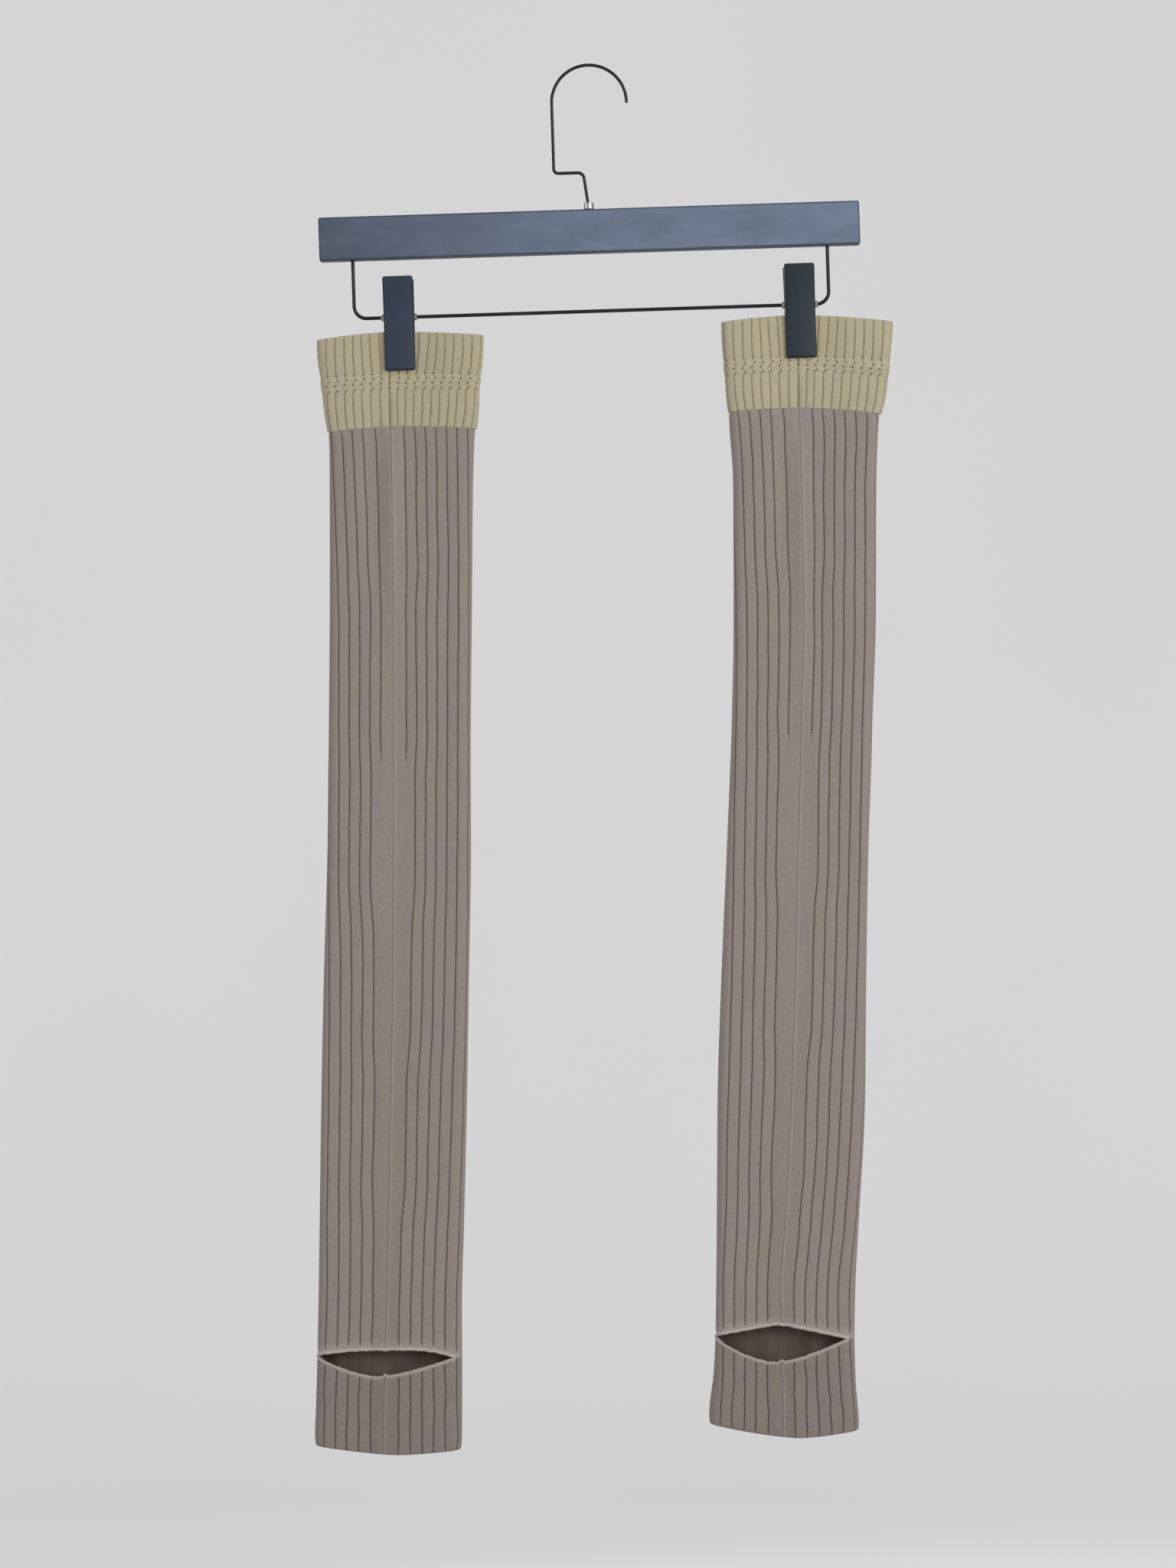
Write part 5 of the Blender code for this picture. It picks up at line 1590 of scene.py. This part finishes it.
class STOCKINGS_OT_mould_clips(bpy.types.Operator):
    """Mould the two arms of each clip"""

    bl_idname = "stockings.mould_clips"
    bl_label = "Mould the clips"

    def execute(self, context):
        settings = context.scene.stockings_hanger
        for stocking, colour in zip(STOCKINGS, (settings.clip_left, settings.clip_right)):
            seat = clip_seat(stocking)
            look = clip_material(f"slate_abs_{stocking.side}", colour, settings.clip_edge_shade, TILT @ seat)
            for facing, arm in ((-1, "front"), (1, "back")):
                name = f"clip_{stocking.side}_{arm}"
                piece = self.arm(f"{name}_arm", facing, CHEEK_INSETS[arm], seat)
                add_piece(piece, "clip_plastic", look, name)
        return {"FINISHED"}

    @classmethod
    def arm(cls, name, facing, cheek_inset, seat):
        """A clip arm: a plate with two lugs on the sleeve. facing is -1 for the front one, else 1."""
        shape = bmesh.new()
        cls.plate(shape)
        for vert in shape.verts:
            height, depth = vert.co.y, vert.co.z
            vert.co = Vector((vert.co.x, facing * (cls.gap(height) + depth), height))
        centre = CLIP_WIDTH / 2 - cheek_inset - CHEEK_THICKNESS / 2
        for x in (-centre, centre):
            cls.cheek(shape, x, facing)
        bmesh.ops.recalc_face_normals(shape, faces=shape.faces)
        form = TILT.to_4x4() @ Matrix.Scale(MM, 4) @ Matrix.Translation(seat)
        bmesh.ops.transform(shape, matrix=form, verts=shape.verts)
        made = mesh_object(name, shape)
        made.data.set_sharp_from_angle(angle=math.radians(PLATE_SHARP))
        return made

    @staticmethod
    def plate(shape):
        """A flat plate with round corners and edges, its height along Y and its depth along Z."""
        bmesh.ops.create_grid(shape, x_segments=1, y_segments=1, size=0.5)
        height = CLIP_ABOVE_WIRE + CLIP_BELOW_WIRE
        bmesh.ops.scale(shape, vec=(CLIP_WIDTH, height, 1.0), verts=shape.verts)
        bmesh.ops.translate(shape, vec=(0.0, CLIP_ABOVE_WIRE - height / 2, 0.0), verts=shape.verts)
        corners = shape.verts[:]
        bmesh.ops.bevel(shape, geom=corners, offset=CLIP_CORNER, segments=6, affect="VERTICES", **ROUND)
        solid = bmesh.ops.extrude_face_region(shape, geom=shape.faces[:])
        raised = [part for part in solid["geom"] if isinstance(part, bmesh.types.BMVert)]
        bmesh.ops.translate(shape, vec=(0.0, 0.0, ARM_THICKNESS), verts=raised)
        bmesh.ops.recalc_face_normals(shape, faces=shape.faces)
        rims = [edge for edge in shape.edges if edge.verts[0].co.z == edge.verts[1].co.z]
        bmesh.ops.bevel(shape, geom=rims, offset=ARM_EDGE, segments=3, affect="EDGES", **ROUND)
        straight = height - 2 * CLIP_CORNER
        rows = round(straight / CLIP_ROW)
        for row in range(rows + 1):
            cut = (0.0, CLIP_CORNER - CLIP_BELOW_WIRE + straight * row / rows, 0.0)
            parts = shape.verts[:] + shape.edges[:] + shape.faces[:]
            bmesh.ops.bisect_plane(shape, geom=parts, dist=SNAP, plane_co=cut, plane_no=(0.0, 1.0, 0.0))
        bmesh.ops.remove_doubles(shape, verts=shape.verts, dist=SNAP)

    @staticmethod
    def gap(height):
        """How far an arm's inner face is from the middle at a height, with its folds rounded."""
        heights = (-CLIP_GRIP_BELOW_WIRE, -CLIP_PIVOT_HALF, CLIP_PIVOT_HALF, CLIP_ABOVE_WIRE)
        gaps = (GRIP_GAP, PIVOT_GAP, PIVOT_GAP, HANDLE_GAP)
        near = [height + FOLD_SPAN * step / 4 for step in range(-4, 5)]
        return float(np.mean(np.interp(near, heights, gaps)))

    @staticmethod
    def cheek(shape, x, facing):
        """A lug of the arm round the sleeve: a ring on a short root."""
        bore = LOWER_WIRE / 2 + 2 * CLEARANCE + SLEEVE_WALL
        flat = Matrix.Translation((x - CHEEK_THICKNESS / 2, 0.0, 0.0)) @ Matrix.Rotation(math.pi / 2, 4, "Y")
        edges = []
        for radius in (CHEEK_RADIUS, bore):
            ring = bmesh.ops.create_circle(shape, cap_ends=False, radius=radius, segments=32, matrix=flat)
            edges += {edge for vert in ring["verts"] for edge in vert.link_edges}
        web = bmesh.ops.bridge_loops(shape, edges=edges)
        solid = bmesh.ops.extrude_face_region(shape, geom=web["faces"])
        moved = [part for part in solid["geom"] if isinstance(part, bmesh.types.BMVert)]
        bmesh.ops.translate(shape, vec=(CHEEK_THICKNESS, 0.0, 0.0), verts=moved)
        root = bmesh.ops.create_cube(shape, size=1.0)
        size = (CHEEK_THICKNESS, CHEEK_ROOT - bore, 2 * CHEEK_RADIUS)
        bmesh.ops.scale(shape, vec=size, verts=root["verts"])
        bmesh.ops.translate(shape, vec=(x, facing * (CHEEK_ROOT + bore) / 2, 0.0), verts=root["verts"])


class STOCKINGS_OT_set_stage(bpy.types.Operator):
    """Set up the camera, the soft lights and the pale backdrop with its floor"""

    bl_idname = "stockings.set_stage"
    bl_label = "Set the stage"

    def execute(self, context):
        settings = context.scene.stockings_stage
        scene = context.scene
        scene.view_settings.view_transform = "Standard"
        across, down = PHOTO_WIDTH / 2 - PHOTO_ORIGIN[0], PHOTO_HEIGHT / 2 - PHOTO_ORIGIN[1]
        target = Vector((across, 0.0, -down)) * MM_PER_PIXEL * MM
        self.camera(scene, settings, target)
        self.backdrop(settings)
        for name, size, place in LIGHTS:
            self.light(f"{name}_light", getattr(settings, name), size, Vector(place), target)
        world = bpy.data.worlds.new("even_light")
        scene.world = world
        world.use_nodes = True
        light = {"Color": (*settings.sky_tint, 1.0), "Strength": settings.sky}
        set_sockets(world.node_tree, world.node_tree.nodes["Background"], light)
        return {"FINISHED"}

    @staticmethod
    def camera(scene, settings, target):
        """A level camera at the photograph's height, as far off as its lens needs."""
        data = bpy.data.cameras.new("camera")
        data.lens = settings.lens
        camera = bpy.data.objects.new("camera", data)
        scene.collection.objects.link(camera)
        distance = PHOTO_HEIGHT * MM_PER_PIXEL * MM * data.lens / data.sensor_width
        camera.location = target - Vector((0.0, distance, 0.0))
        camera.rotation_euler = (math.pi / 2, 0.0, 0.0)
        scene.camera = camera

    @staticmethod
    def light(name, power, size, place, target):
        """A square soft light that faces the target."""
        data = bpy.data.lights.new(name, "AREA")
        data.energy = power
        data.size = size
        lamp = bpy.data.objects.new(name, data)
        bpy.context.scene.collection.objects.link(lamp)
        lamp.visible_camera = False
        lamp.location = place
        lamp.rotation_euler = (target - place).to_track_quat("-Z", "Y").to_euler()

    @staticmethod
    def backdrop(settings):
        """A round floor that curves up all round. It throws no light or shadow on the cloth."""
        floor = CAD_BOX[0].z - settings.floor_gap
        flat = BACKDROP_RADIUS - BACKDROP_COVE
        points = [Vector((0.0, 0.0, floor))]
        points += arc((flat, floor + BACKDROP_COVE), BACKDROP_COVE, -90, 0, BACKDROP_COVE_STEPS)
        points.append(Vector((BACKDROP_RADIUS, 0.0, floor + BACKDROP_HEIGHT)))
        made = mesh_object("backdrop", spun(points, False, BACKDROP_STEPS))
        bpy.context.scene.collection.objects.link(made)
        look, tree, shader = new_material("backdrop_paper")
        place = add(tree, "TexCoord").outputs["Object"]
        cloud = add(tree, "TexNoise", {"Vector": place, "Scale": 1 / BACKDROP_CLOUD, "Detail": 2.0})
        paper = toned(tree, (*settings.backdrop, 1.0), cloud, 0.98, 1.02)
        set_sockets(tree, shader, {"Base Color": paper, "Roughness": 0.95, "Specular IOR Level": 0.0})
        made.data.materials.append(look)
        made.visible_diffuse = False
        made.visible_glossy = False
        made.visible_shadow = False


class STOCKINGS_PT_panel(bpy.types.Panel):
    """Lists the steps that make the stockings and their hanger"""

    bl_label = "Stockings"
    bl_idname = "STOCKINGS_PT_panel"
    bl_space_type = "VIEW_3D"
    bl_region_type = "UI"
    bl_category = "Stockings"

    def draw(self, context):
        for group, kind in GROUPS.items():
            box = self.layout.box()
            for name in kind.__annotations__:
                box.prop(getattr(context.scene, group), name)
        for operator in OPERATORS:
            self.layout.operator(operator.bl_idname)


GROUPS = {
    "stockings_knit": StockingsKnit,
    "stockings_hanger": StockingsHanger,
    "stockings_stage": StockingsStage,
}
OPERATORS = (
    STOCKINGS_OT_set_stage,
    STOCKINGS_OT_knit_legs,
    STOCKINGS_OT_knit_cuffs,
    STOCKINGS_OT_bend_wires,
    STOCKINGS_OT_turn_metal,
    STOCKINGS_OT_mould_clips,
    STOCKINGS_OT_paint_bar,
)


def register():
    """Registers the classes and adds their settings to the scene."""
    for made in (*GROUPS.values(), *OPERATORS, STOCKINGS_PT_panel):
        bpy.utils.register_class(made)
    for name, group in GROUPS.items():
        setattr(bpy.types.Scene, name, PointerProperty(type=group))


def unregister():
    """Removes the settings and the classes again."""
    for name in GROUPS:
        delattr(bpy.types.Scene, name)
    for made in (STOCKINGS_PT_panel, *reversed(OPERATORS), *reversed(GROUPS.values())):
        bpy.utils.unregister_class(made)


def main():
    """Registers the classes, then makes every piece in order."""
    register()
    bpy.ops.stockings.set_stage()
    bpy.ops.stockings.knit_legs()
    bpy.ops.stockings.knit_cuffs()
    bpy.ops.stockings.bend_wires()
    bpy.ops.stockings.turn_metal()
    bpy.ops.stockings.mould_clips()
    bpy.ops.stockings.paint_bar()


if __name__ == "__main__":
    main()
